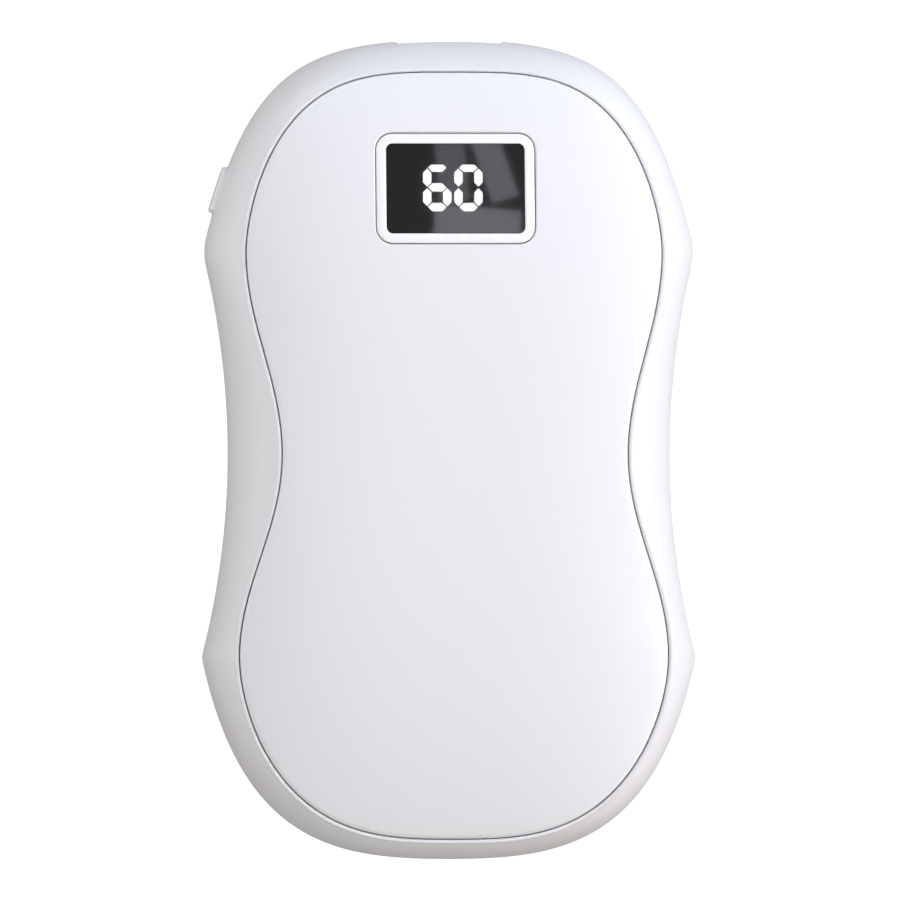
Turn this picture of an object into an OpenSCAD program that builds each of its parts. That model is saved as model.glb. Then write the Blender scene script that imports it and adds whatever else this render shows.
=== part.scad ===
// Rechargeable pocket hand warmer with a two-digit display, a side button and a charging port.
// It lies on its back: X is across, Y runs up to the end with the port, Z rises out of the front cover.
// The origin is on the rest face, below the middle of the body.

/* [Body] */
// Distance from the middle to the end with the port
top_reach = 50.3; // [49:0.1:52]
// Distance from the middle to the plain end
bottom_reach = 50; // [49:0.1:52]
// Thickness from the rest face to the crown of the front cover
body_t = 25; // [24.6:0.1:27]
// Width at the waist
waist_w = 54.2; // [53.5:0.1:56]
// Width at the shoulders near the port
top_shoulder_w = 60.4; // [59.5:0.1:62]
// Width at the shoulders near the plain end
bottom_shoulder_w = 60.6; // [59.5:0.1:62]
// Distance from the middle to the shoulders near the port
top_shoulder_y = 24.3; // [23.8:0.1:24.8]
// Distance from the middle to the shoulders near the plain end
bottom_shoulder_y = 25.3; // [24:0.1:26.5]
// Length of the curve handle at the crown of the port end
top_crown_handle = 17.7; // [16.5:0.1:19]
// Length of the curve handle at the shoulders of the port end
top_shoulder_handle = 22.7; // [21.5:0.1:23.5]
// Length of the curve handle at the crown of the plain end
bottom_crown_handle = 13.6; // [13:0.1:16]
// Length of the curve handle at the shoulders of the plain end
bottom_shoulder_handle = 23.2; // [21.5:0.1:23.8]
// Angle at which the port end widens into its shoulders, degrees
top_flare = 13.3; // [10:0.1:16]
// Angle at which the plain end widens into its shoulders, degrees
bottom_flare = 12.1; // [9:0.1:15]
// Thickness of the housing wall
wall = 2; // [1.8:0.1:2.2]

/* [Rim and covers] */
// Rim seen from the front at the port end
rim_top = 4; // [3.6:0.1:4.5]
// Rim seen from the front at the plain end
rim_bottom = 2.45; // [2.2:0.05:3]
// Rim seen from the front at the shoulders near the port
rim_top_shoulder = 4.65; // [4.2:0.05:5]
// Rim seen from the front at the shoulders near the plain end
rim_bottom_shoulder = 3.95; // [3.6:0.05:4.4]
// Rim seen from the front at the waist
rim_waist = 5.85; // [5.4:0.05:6.3]
// Angle at which the rim leaves the cover's edge, degrees
rim_lean = 18; // [12:1:24]
// Rise of the front cover from its edge at the waist to its crown
front_dome = 3.2; // [2.8:0.1:3.6]
// Rise of the rear cover's edge at the waist above the rest face
rear_dome = 2.4; // [2:0.1:2.8]
// Extra fall of both covers' edges at the two ends
end_drop = 1; // [0.6:0.1:1.4]
// Groove between a cover and the rim
groove_w = 0.2; // [0.16:0.02:0.4]
// Thickness of a cover
cover_t = 1.6; // [1.4:0.1:1.8]
// Thickness of a cover's skirt
skirt_t = 1.2; // [1:0.1:1.4]
// Depth of a cover's seat below the lowest point of its edge
seat_depth = 1.6; // [1.4:0.1:1.8]
// Width of the ledge that a cover's skirt stands on
ledge_w = 3; // [2.8:0.1:3.2]
// Thickness of the ledge at its free edge
ledge_t = 1.2; // [1:0.1:1.4]
// Gap between the two halves of the housing
parting_gap = 0.1; // [0.06:0.02:0.16]
// Height of the tongue between the two halves
tongue_h = 0.8; // [0.6:0.1:1]
// Thickness of the tongue
tongue_t = 0.9; // [0.8:0.05:1]

/* [Snap hooks] */
// Width of a cover's snap hook
hook_w = 4; // [3:0.1:5]
// Thickness of a snap hook
hook_t = 1; // [0.8:0.1:1.2]
// Reach of a hook's barb under the ledge
barb_reach = 0.5; // [0.4:0.05:0.6]
// Height of a hook's barb
barb_h = 1.1; // [0.9:0.1:1.3]

/* [Display] */
// Distance from the port end to the middle of the display
display_from_top = 18.3; // [17.9:0.1:18.7]
// Width of the display bezel
bezel_w = 19.4; // [18.8:0.1:20]
// Length of the display bezel along the body
bezel_l = 13.4; // [13.1:0.1:14]
// Corner radius of the display bezel
bezel_r = 2; // [1.6:0.1:2.4]
// Depth of the bezel behind the cover's face
bezel_depth = 2.8; // [2.7:0.1:3]
// Thickness of the flange behind the cover
bezel_flange_t = 0.7; // [0.5:0.1:0.7]
// Reach of that flange past the bezel
bezel_flange = 0.8; // [0.5:0.1:1]
// Width of the dark window
window_w = 17; // [16.6:0.1:17.2]
// Length of the dark window along the body
window_l = 10.9; // [10.8:0.1:11.2]
// Corner radius of the dark window
window_r = 0.9; // [0.7:0.1:1.2]
// Thickness of the window
window_t = 1; // [0.8:0.1:1.1]
// Depth of the window's face below the bezel
window_sink = 0.25; // [0.15:0.05:0.35]
// Width of the step that the window rests on
window_step = 0.6; // [0.5:0.05:0.7]
// Thickness of the foam gasket behind the window
gasket_t = 0.5; // [0.4:0.05:0.6]
// Width of the digit module
module_w = 12.4; // [12:0.1:12.6]
// Length of the digit module along the body
module_l = 8.4; // [8.2:0.1:8.5]
// Width of one digit
digit_w = 3.43; // [3.2:0.01:3.5]
// Height of one digit
digit_h = 5.8; // [5.4:0.1:6.2]
// Distance between the two digits' middles
digit_pitch = 3.8; // [3.7:0.05:4]
// Width of one bar of a digit
bar_w = 1; // [0.8:0.05:1.1]
// Gap between neighbouring bars
bar_gap = 0.16; // [0.12:0.01:0.3]
// Thickness of the bars' light guides
bar_t = 0.3; // [0.2:0.05:0.4]
// Distance of the digits to the left of the window's middle
digit_shift = 0.15; // [0:0.05:0.2]
// Diameter of the module's pins
pin_d = 0.5; // [0.4:0.05:0.6]
// Length of the pins below the board
pin_end = 0.8; // [0.5:0.1:1]

/* [Button] */
// Length of the button along the edge
button_l = 5.9; // [5.4:0.1:6.4]
// Height of the button across the edge
button_h = 3.2; // [3:0.1:3.6]
// Corner radius of the button
button_r = 1.1; // [0.8:0.1:1.4]
// Height of the button above the rim
button_proud = 0.55; // [0.5:0.05:0.7]
// Clearance round the button
button_gap = 0.15; // [0.12:0.01:0.2]
// Travel of the button
button_travel = 0.3; // [0.2:0.05:0.3]
// Reach of the flange that keeps the button in
button_flange = 0.6; // [0.5:0.05:0.8]
// Thickness of that flange
button_flange_t = 0.8; // [0.6:0.1:0.9]
// Room between the flange and the wall
button_flange_gap = 0.5; // [0.45:0.05:0.6]
// Diameter of the stem behind the flange
stem_d = 2; // [1.8:0.1:2.4]
// Length of the stem
stem_l = 0.5; // [0.4:0.1:0.6]
// Diameter of the switch plunger
plunger_d = 1.4; // [1.2:0.1:1.6]
// Length of the plunger
plunger_l = 1.55; // [1.4:0.05:1.6]
// Free length of the plunger outside the switch
plunger_proud = 0.45; // [0.4:0.05:0.5]
// Radial clearance of the plunger in the switch
plunger_fit = 0.05; // [0.04:0.01:0.08]
// Width of the switch along the edge
switch_w = 4; // [3.6:0.1:4]
// Depth of the switch behind its front face
switch_d = 3.2; // [2.8:0.1:3.2]
// Thickness of the switch's metal cover
switch_cover_t = 0.2; // [0.15:0.05:0.25]

/* [Charging port] */
// Width of the receptacle shell
port_w = 8.94; // [8.9:0.01:9]
// Height of the receptacle shell
port_h = 3.26; // [3.2:0.01:3.3]
// Wall of the receptacle shell
port_wall = 0.31; // [0.25:0.01:0.35]
// Length of the receptacle shell
port_l = 7.3; // [7:0.1:7.6]
// Clearance of the shell in the housing
port_gap = 0.15; // [0.1:0.01:0.2]
// Distance from the middle of the recess floor back to the shell's mouth
port_set_back = 0.4; // [0.3:0.05:0.6]
// Width of the recess round the port
recess_w = 13.3; // [12.6:0.1:13.6]
// Height of the recess
recess_h = 7; // [6:0.1:8]
// Depth of the recess
recess_depth = 0.28; // [0.22:0.01:0.4]
// Widening of the recess at each side of its mouth
recess_flare = 0.35; // [0.2:0.05:0.7]
// Width of the contact tongue
tongue_w = 6.69; // [6.5:0.01:6.8]
// Thickness of the contact tongue
tongue_plate_t = 0.7; // [0.6:0.05:0.8]
// Distance of the tongue's tip behind the shell's mouth
tongue_set_back = 0.6; // [0.4:0.1:0.8]
// Width of one contact
contact_w = 0.25; // [0.2:0.01:0.3]
// Thickness of one contact
contact_t = 0.06; // [0.05:0.01:0.08]
// Distance between contacts
contact_pitch = 0.95; // [0.8:0.05:1]
// Number of contacts on each side of the tongue
contact_count = 7; // [5:1:7]

/* [Main board] */
// Thickness of the board
board_t = 1; // [0.8:0.1:1.2]
// Distance from the display module to the lead sockets
socket_gap = 3.75; // [3.6:0.05:4.2]
// Distance from the board to the inside of the wall
board_wall_gap = 0.9; // [0.8:0.1:1.2]
// Width of the field of chips and other parts on the board
field_w = 46.4; // [45.8:0.1:47]
// Diameter of the board's screws
board_screw_d = 1.6; // [1.5:0.1:1.7]
// Length of those screws below their heads
board_screw_l = 5; // [4:0.1:6]
// Diameter of their heads
board_head_d = 3; // [2.8:0.1:3.2]
// Height of their heads
board_head_h = 0.9; // [0.8:0.1:1.1]
// Diameter of the posts that carry the board
board_post_d = 4; // [3.8:0.1:4.2]
// Distance from the lower screws to the board's sides
board_screw_edge = 2.4; // [2.2:0.1:2.5]
// Width of the microcontroller
controller_w = 3.9; // [3.6:0.1:4.2]
// Length of the microcontroller
controller_l = 9.9; // [9.5:0.1:10.1]
// Height of a chip
chip_h = 1.5; // [1.2:0.1:1.7]
// Length of the charging chip
charger_l = 4.9; // [4.6:0.1:5.2]
// Reach of a chip's legs past its body
leg_reach = 1; // [0.8:0.05:1.05]
// Thickness of a chip's legs
leg_t = 0.25; // [0.2:0.01:0.3]
// Width of a chip's leg
leg_w = 0.42; // [0.35:0.01:0.5]
// Distance between a chip's legs
leg_pitch = 1.27; // [1.2:0.01:1.3]
// Side of the inductor
inductor_w = 6.2; // [5.8:0.1:6.4]
// Height of the inductor
inductor_h = 3; // [2.6:0.1:3.2]
// Distance from the display module to the inductor
inductor_gap = 0.6; // [0.5:0.1:1.2]
// Length of a transistor
transistor_l = 2.9; // [2.7:0.1:3]
// Width of a transistor
transistor_w = 1.3; // [1.2:0.05:1.4]
// Height of a transistor
transistor_h = 1.1; // [1:0.05:1.2]
// Length of a capacitor
capacitor_l = 2; // [1.8:0.1:2.2]
// Width of a capacitor
capacitor_w = 1.25; // [1.1:0.05:1.4]
// Height of a capacitor
capacitor_h = 1.2; // [1:0.05:1.3]
// Length of a resistor
resistor_l = 1.6; // [1.4:0.1:1.7]
// Width of a resistor
resistor_w = 0.8; // [0.7:0.05:0.9]
// Height of a resistor
resistor_h = 0.45; // [0.4:0.01:0.5]
// Width of a lead socket
socket_w = 5.6; // [5.4:0.1:5.8]
// Length of a lead socket along the body
socket_l = 3.6; // [3.4:0.1:3.8]
// Height of a lead socket
socket_h = 2.6; // [2.5:0.1:2.8]
// Wall of a lead socket
socket_wall = 0.5; // [0.4:0.05:0.6]
// Length of a lead plug outside its socket
plug_proud = 1.2; // [1:0.1:1.4]

/* [Battery] */
// Distance from the edge of the rim at the waist to the pouch cell
cell_side_gap = 2.25; // [2.2:0.05:3]
// Room for the leads between the fuse and the main board
lead_room = 2; // [1.9:0.1:2.6]
// Radius of the cell's long edges
cell_r = 2.2; // [1.6:0.1:3]
// Thickness of the adhesive pad under the cell
adhesive_t = 0.5; // [0.4:0.05:0.6]
// Width of the adhesive pad
adhesive_w = 28; // [24:0.5:32]
// Length of the adhesive pad
adhesive_l = 38; // [34:0.5:42]
// Width of a battery tab
tab_w = 3; // [2.6:0.1:3.4]
// Thickness of a battery tab
tab_t = 0.2; // [0.15:0.05:0.3]
// Distance from the middle to each tab
tab_x = 6; // [5:0.1:8]
// Distance from the cell to the protection board
tab_l = 0.5; // [0.4:0.05:0.6]
// Width of the protection board
guard_w = 28; // [27.5:0.1:29]
// Height of the protection board
guard_h = 7; // [6.6:0.1:7.2]
// Thickness of the protection board
guard_t = 0.8; // [0.6:0.1:1]
// Diameter of the thermal fuse
fuse_d = 2.2; // [2:0.1:2.4]
// Length of the thermal fuse
fuse_l = 7; // [6.5:0.1:7.5]
// Diameter of the fuse's legs
fuse_leg_d = 0.5; // [0.4:0.05:0.6]
// Reach of the fuse's legs past its body
fuse_leg_reach = 1; // [0.8:0.1:1.2]
// Distance from the protection board to the fuse
fuse_stand = 1.3; // [1.2:0.1:1.4]

/* [Inner tray] */
// Thickness of the tray's floor
tray_t = 1; // [0.8:0.1:1.1]
// Thickness of the walls round the cell
tray_wall = 1.2; // [1:0.1:1.3]
// Thickness of the ears that the housing clamps
ear_t = 1.2; // [1:0.1:1.4]
// Distance from the ledge's outer edge to the tray's floor
tray_inset = 1; // [0.8:0.1:1.4]

// Width of the ears beside the cell
ear_w = 3; // [2.6:0.1:3.2]
// Width of the slot for the leads in the tray's floor
lead_slot_w = 22; // [20:0.5:24]

/* [Housing screws] */
// Diameter of the screws that close the housing
screw_d = 2; // [1.9:0.1:2.2]
// Length of those screws below their heads
screw_l = 10; // [9:0.5:11.5]
// Diameter of their heads
head_d = 3.6; // [3.4:0.1:3.7]
// Height of their heads
head_h = 1.4; // [1.2:0.1:1.6]
// Diameter of the bosses
boss_d = 6; // [5.9:0.1:6.2]
// Overlap of a boss and the ledge that it grows from
boss_bite = 1; // [0.9:0.05:1.1]

/* [Heaters] */
// Distance from the rim's groove to the edge of a heat spreader
heater_inset = 5; // [4.9:0.1:5.5]
// Thickness of a heat spreader
spreader_t = 0.4; // [0.3:0.05:0.5]
// Thickness of a heater film
film_t = 0.2; // [0.15:0.01:0.25]
// Distance from the display to the heat spreaders
spreader_gap = 3.4; // [3:0.1:4.5]
// Distance from the main board to the heater films
film_gap = 6.4; // [6.2:0.1:7]
// Distance from a film's end to the middle of its temperature sensor
sensor_from_end = 2.5; // [2.4:0.1:3]
// Distance from a temperature sensor to the insulation pad
pad_gap = 1.2; // [1:0.1:2]
// Width of a temperature sensor
sensor_w = 2; // [1.8:0.1:2.2]
// Length of a temperature sensor
sensor_l = 2.6; // [2.4:0.1:3]
// Height of a temperature sensor
sensor_h = 1; // [0.8:0.1:1.2]
// Diameter of the heater and sensor leads
lead_d = 0.9; // [0.8:0.05:0.95]
// Diameter of the battery leads
battery_lead_d = 1.2; // [1:0.05:1.3]
// Distance between neighbouring leads at a plug
lead_pitch = 1.1; // [1.05:0.05:1.15]

/* [Hidden] */
$fn = 48;

// Overrun of every cut past the faces that it goes through
cut = 1;
// Gap between stacked sheets and between parts that rest on each other
rest_gap = 0.05;
// Gap round loose parts
part_gap = 0.3;
// Radial clearance of a screw in its hole
screw_fit = 0.05;
// Clearance of the bezel in the cover and of the window in the bezel
trim_fit = 0.12;
// Gap between a hook and the ledge
hook_gap = 0.2;
// Gap between the end of a lead and what it is joined to
lead_gap = 0.15;
// Gap between the button's stem and the plunger
touch_gap = 0.01;
// Least flat side left between two rounded corners
corner_margin = 0.01;

// Steps of an outline from crown to shoulder and from shoulder to shoulder
cap_steps = 9;
waist_steps = 14;
// Steps of the rim's curve from the cover's edge to the parting plane
rim_steps = 6;
// Share by which the points of an end are drawn towards its crown and shoulder
ease_share = 0.35;
// Powers of the cover outline's ends, across and along
top_powers = [3.5, 1.65];
bottom_powers = [3, 1.735];
// Powers of the two covers' rise towards their edges
dome_power = 2.4;
rear_power = 2;
// Share of the rear cover that is flat
flat_share = 0.6;
// Rings of the covers as shares of their outlines
front_ring_shares = [0.25, 0.45, 0.62, 0.77, 0.9, 1];
rear_ring_shares = [0.6, 0.72, 0.82, 0.92, 1];
sheet_ring_shares = [0.4, 0.75, 1];
// Places of the hooks, counted along the outline from the crown
hook_steps = [2, 7, 26, 31];
// Places of the bosses, counted in the same way
top_boss_step = cap_steps;
bottom_boss_step = cap_steps + waist_steps + 6;
// Place of the board's upper posts, counted in the same way
upper_post_step = 3;
// Place of the button between crown and shoulder
button_share = 0.843;
// Share of the way to either side of it over which the rim's slope there is measured
slope_share = 0.01;
// Rings of the wall's inside, as shares of the rim's curve
wall_ring_shares = [0.75, 0.5];
// Places of the display's pins, as shares of the module's width and length
pin_column_shares = [-1 / 3, -1 / 6, 0, 1 / 6, 1 / 3];
pin_row_share = 0.385;
// Length of the contacts as a share of the receptacle's
contact_share = 0.6;
// Heights of the inductor's feet and width of its winding as shares of its own
inductor_foot_share = 1 / 6;
inductor_core_share = 0.86;
// Share of the protection board that lies below the middle of the body
guard_drop_share = 0.55;

mid = body_t / 2;
display_y = top_reach - display_from_top;
panel_top = top_reach - rim_top;
panel_bottom = bottom_reach - rim_bottom;
front_seat_z = body_t - front_dome - end_drop - seat_depth;
rear_seat_z = rear_dome + end_drop + seat_depth;

// Outlines, clockwise from the crown of the port end

waist_y = (top_shoulder_y - bottom_shoulder_y) / 2;
waist_half = (top_shoulder_y + bottom_shoulder_y) / 2;
waist_rise = ((top_shoulder_w + bottom_shoulder_w) / 2 - waist_w) / 2;
waist_radius = (waist_half ^ 2 + waist_rise ^ 2) / (2 * waist_rise);

function eased(t) = t + ease_share * ((1 - cos(180 * t)) / 2 - t);
function cubic(a, b, c, d, t) =
    (1 - t) ^ 3 * a + 3 * (1 - t) ^ 2 * t * b + 3 * (1 - t) * t ^ 2 * c + t ^ 3 * d;
function end_curve(reach, crown_handle, half_w, shoulder_y, shoulder_handle, flare, t) =
    let (near_x = half_w - shoulder_handle * tan(flare), near_y = shoulder_y + shoulder_handle)
    [cubic(0, crown_handle, near_x, half_w, t), cubic(reach, reach, near_y, shoulder_y, t)];
function outer_top(t) = end_curve(top_reach, top_crown_handle, top_shoulder_w / 2, top_shoulder_y,
    top_shoulder_handle, top_flare, eased(t));
function outer_bottom(t) = let (p = end_curve(bottom_reach, bottom_crown_handle, bottom_shoulder_w / 2,
    bottom_shoulder_y, bottom_shoulder_handle, bottom_flare, eased(t))) [p.x, -p.y];
function oval_curve(reach, half_w, shoulder_y, powers, t) =
    [half_w * sin(90 * t),
     shoulder_y + (reach - shoulder_y) * max(0, 1 - sin(90 * t) ^ powers.x) ^ (1 / powers.y)];
function panel_top_end(t) =
    oval_curve(panel_top, top_shoulder_w / 2 - rim_top_shoulder, top_shoulder_y, top_powers, t);
function panel_bottom_end(t) =
    let (p = oval_curve(panel_bottom, bottom_shoulder_w / 2 - rim_bottom_shoulder, bottom_shoulder_y,
        bottom_powers, t)) [p.x, -p.y];

// Share of the waist's depth that is left at a place u, from -1 at the lower shoulder to 1 at the upper
function arc_rise(u) = (waist_radius - sqrt(waist_radius ^ 2 - (u * waist_half) ^ 2)) / waist_rise;
function wave_rise(u) = (1 - cos(180 * u)) / 2;
function waist_point(narrow, above, below, rise, u) =
    [narrow + ((u > 0 ? above : below) - narrow) * rise, waist_y + u * waist_half];
function outer_waist(u) =
    waist_point(waist_w / 2, top_shoulder_w / 2, bottom_shoulder_w / 2, arc_rise(u), u);
function panel_waist(u) = waist_point(waist_w / 2 - rim_waist, top_shoulder_w / 2 - rim_top_shoulder,
    bottom_shoulder_w / 2 - rim_bottom_shoulder, wave_rise(u), u);

cap_range = [for (i = [0:cap_steps]) i / cap_steps];
cap_back = [for (i = [cap_steps:-1:0]) i / cap_steps];
waist_range = [for (j = [1:waist_steps - 1]) 1 - 2 * j / waist_steps];
outer_right = concat([for (t = cap_range) outer_top(t)], [for (u = waist_range) outer_waist(u)],
    [for (t = cap_back) outer_bottom(t)]);
panel_right = concat([for (t = cap_range) panel_top_end(t)], [for (u = waist_range) panel_waist(u)],
    [for (t = cap_back) panel_bottom_end(t)]);
function closed_line(right) =
    concat(right, [for (i = [len(right) - 2:-1:1]) [-right[i].x, right[i].y]]);
outer_line = closed_line(outer_right);
panel_line = closed_line(panel_right);
line_n = len(outer_line);

function along(line, i) =
    let (n = len(line), d = line[(i + 1) % n] - line[(i + n - 1) % n]) d / norm(d);
function inset(line, by) =
    [for (i = [0:len(line) - 1]) let (d = along(line, i)) line[i] + by * [d.y, -d.x]];
function every(line, step) = [for (i = [0:step:len(line) - 1]) line[i]];
function mirrored(i) = (line_n - i) % line_n;

cover_line = inset(panel_line, groove_w);
skirt_line = inset(cover_line, skirt_t);
ledge_line = inset(panel_line, ledge_w);
boss_line = inset(panel_line, ledge_w + boss_d / 2 - boss_bite);
hook_line = inset(panel_line, ledge_w + hook_gap + hook_t / 2);
tray_line = inset(panel_line, tray_inset);

// Faces of the two covers: side is 1 in front and -1 at the rear, r is 0 at the middle and 1 at the edge

function end_fall(p) = end_drop * (p.y / (p.y > 0 ? panel_top : panel_bottom)) ^ 2;
// The domes don't follow the waist: there the cover's edge lies this share of the way to an edge without one
function waist_share(p) =
    let (t = (p.y + bottom_shoulder_y) / (top_shoulder_y + bottom_shoulder_y),
         top_half = top_shoulder_w / 2 - rim_top_shoulder,
         bottom_half = bottom_shoulder_w / 2 - rim_bottom_shoulder)
    t <= 0 || t >= 1 ? 1 : abs(p.x) / (bottom_half + t * (top_half - bottom_half));
function front_z(p, r, depth) =
    body_t - (front_dome + end_fall(p)) * (r * waist_share(p)) ^ dome_power - depth;
function rear_z(p, r, depth) = (rear_dome + end_fall(p))
    * (max(0, r * waist_share(p) - flat_share) / (1 - flat_share)) ^ rear_power + depth;
function face_z(side, p, r, depth) = side > 0 ? front_z(p, r, depth) : rear_z(p, r, depth);
function seat_z(side) = side > 0 ? front_seat_z : rear_seat_z;
function parting_z(side) = mid + side * parting_gap / 2;
function level(line, z) = [for (p = line) [p.x, p.y, z]];
function face_ring(side, base, line, share, depth) =
    [for (i = [0:len(line) - 1]) let (q = share * line[i])
        [q.x, q.y, face_z(side, base[i], norm(q) / norm(base[i]), depth)]];
function backwards(list) = [for (i = [len(list) - 1:-1:0]) list[i]];

// Meshes from rings of equal length. closed_skin ends in two points, closed_band joins its ends.
// In the second half of a skin the diagonals cross over, so that sheets at two depths stay parallel.

function quad(a, b, c, d, crossed, turned) =
    let (pair = crossed ? [[a, d, b], [b, d, c]] : [[a, d, c], [a, c, b]])
    turned ? [for (f = pair) [f[0], f[2], f[1]]] : pair;
module closed_skin(first, rings, last, turned) {
    n = len(rings[0]);
    m = len(rings);
    points = concat([first], [for (ring = rings) each ring], [last]);
    end = 1 + m * n;
    strips = [for (k = [0:m - 2]) for (i = [0:n - 1])
        let (a = 1 + k * n + i, b = 1 + k * n + (i + 1) % n)
        each quad(a, b, b + n, a + n, k >= m / 2, turned)];
    fans = [for (i = [0:n - 1]) let (j = (i + 1) % n, low = end - n)
        each (turned ? [[0, 1 + j, 1 + i], [end, low + i, low + j]]
                     : [[0, 1 + i, 1 + j], [end, low + j, low + i]])];
    polyhedron(points = points, faces = concat(strips, fans));
}
module closed_band(rings, turned) {
    n = len(rings[0]);
    m = len(rings);
    points = [for (ring = rings) each ring];
    faces = [for (k = [0:m - 1]) for (i = [0:n - 1])
        let (j = (i + 1) % n, next = ((k + 1) % m) * n)
        each quad(k * n + i, k * n + j, next + j, next + i, false, turned)];
    polyhedron(points = points, faces = faces);
}

// Sheet between two depths behind a cover's face
module sheet(side, line_step, by, from_depth, to_depth) {
    base = every(panel_line, line_step);
    line = every(inset(panel_line, by), line_step);
    near = [for (s = sheet_ring_shares) face_ring(side, base, line, s, from_depth)];
    far = [for (s = backwards(sheet_ring_shares)) face_ring(side, base, line, s, to_depth)];
    closed_skin([0, 0, face_z(side, base[0], 0, from_depth)], concat(near, far),
        [0, 0, face_z(side, base[0], 0, to_depth)], side < 0);
}

module slab(line, low_z, high_z) {
    translate([0, 0, low_z]) linear_extrude(high_z - low_z) polygon(line);
}
module rounded_rect(w, l, r) {
    square([w - 2 * r, l], center = true);
    square([w, l - 2 * r], center = true);
    for (x = [-1, 1], y = [-1, 1]) {
        translate([x * (w / 2 - r), y * (l / 2 - r)]) circle(r);
    }
}
module rounded_plate(w, l, r, low_z, high_z) {
    translate([0, 0, low_z]) linear_extrude(high_z - low_z) rounded_rect(w, l, r);
}
module block(x, y, z, w, l, h) {
    translate([x - w / 2, y - l / 2, z]) cube([w, l, h]);
}
module post(x, y, d, low_z, high_z) {
    translate([x, y, low_z]) cylinder(d = d, h = high_z - low_z);
}
// Keeps what lies between two places along the body
module keep_between(low_y, high_y) {
    intersection() {
        children();
        translate([-body_w / 2, low_y, -cut]) cube([body_w, high_y - low_y, body_t + 2 * cut]);
    }
}
body_w = max(top_shoulder_w, bottom_shoulder_w) + 2 * cut;

// Housing

boss_places = [for (i = [top_boss_step, bottom_boss_step]) each [boss_line[i], boss_line[mirrored(i)]]];
ear_low_z = mid - ear_t / 2;
ear_high_z = mid + ear_t / 2;
head_top_z = rear_seat_z + head_h + part_gap;

function rim_ring(side, v, depth) =
    let (a = rim_lean + v * (90 - rim_lean), out = (sin(a) - sin(rim_lean)) / (1 - sin(rim_lean)),
         up = cos(a) / cos(rim_lean), flat = panel_line + out * (outer_line - panel_line),
         line = inset(flat, depth * sin(a)), base_z = parting_z(side))
    [for (i = [0:line_n - 1])
        [line[i].x, line[i].y,
         base_z + (face_z(side, panel_line[i], 1, 0) - base_z) * up - side * depth * cos(a)]];
module housing_shell(side) {
    tongue_line = inset(outer_line, wall - tongue_t - (side > 0 ? 0 : rest_gap));
    tongue_z = parting_z(1) - tongue_h - (side > 0 ? 0 : rest_gap);
    seat = [level(ledge_line, seat_z(side)), level(panel_line, seat_z(side))];
    rim = [for (k = [0:rim_steps]) rim_ring(side, k / rim_steps, 0)];
    edge = [level(tongue_line, parting_z(side)), level(tongue_line, tongue_z),
            level(inset(outer_line, wall), tongue_z)];
    back_z = seat_z(side) - side * ledge_t;
    inside = concat([for (v = wall_ring_shares) rim_ring(side, v, wall)],
        [level(inset(panel_line, tray_inset - part_gap), back_z), level(ledge_line, back_z)]);
    closed_band(concat(seat, rim, edge, inside), side < 0);
}
// Opening for the charging port, in a recess whose floor follows the outer line
module port_cut() {
    recess_y = top_reach - recess_depth;
    past = 1 + cut / recess_depth;
    floor_x = recess_w / 2 - recess_flare;
    mouth_x = recess_w / 2 + past * recess_flare;
    translate([0, 0, mid - recess_h / 2]) linear_extrude(recess_h) difference() {
        polygon([[-floor_x, recess_y - recess_depth], [-mouth_x, recess_y + past * recess_depth],
                 [mouth_x, recess_y + past * recess_depth], [floor_x, recess_y - recess_depth]]);
        polygon(inset(outer_line, recess_depth));
    }
    port_prism(port_w + 2 * port_gap, port_h + 2 * port_gap, recess_y - wall - 2 * cut, top_reach + cut);
}
// Prism along Y with the receptacle's rounded outline
module port_prism(w, h, low_y, high_y) {
    translate([0, high_y, mid]) rotate([90, 0, 0]) linear_extrude(high_y - low_y)
        rounded_rect(w, h, (h - corner_margin) / 2);
}
module front_housing() color("white") {
    difference() {
        union() {
            housing_shell(1);
            for (p = boss_places) post(p.x, p.y, boss_d, ear_high_z + rest_gap, front_seat_z);
        }
        for (p = boss_places) {
            post(p.x, p.y, screw_d + 2 * screw_fit, ear_high_z - cut, head_top_z + screw_l + part_gap);
        }
        port_cut();
        button_cut();
    }
}
module rear_housing() color("white") {
    difference() {
        union() {
            housing_shell(-1);
            for (p = boss_places) post(p.x, p.y, boss_d, rear_seat_z, ear_low_z - rest_gap);
        }
        for (p = boss_places) {
            post(p.x, p.y, screw_d + 2 * screw_fit, rear_seat_z - cut, ear_low_z + cut);
            post(p.x, p.y, head_d + 2 * part_gap, rear_seat_z - cut, head_top_z);
        }
        port_cut();
        button_cut();
    }
}
module housing_screws() color("silver") {
    for (p = boss_places) {
        post(p.x, p.y, head_d, head_top_z - head_h, head_top_z);
        post(p.x, p.y, screw_d, head_top_z - head_h / 2, head_top_z + screw_l);
    }
}

// Covers

module cover_shell(side, ring_shares) {
    foot_z = seat_z(side) + side * rest_gap;
    face = [for (s = ring_shares) face_ring(side, panel_line, cover_line, s, 0)];
    skirt = [level(cover_line, foot_z), level(skirt_line, foot_z)];
    back = [for (s = backwards(ring_shares)) face_ring(side, panel_line, skirt_line, s, cover_t)];
    closed_skin([0, 0, face_z(side, panel_line[0], 0, 0)], concat(face, skirt, back),
        [0, 0, face_z(side, panel_line[0], 0, cover_t)], side < 0);
}
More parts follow.
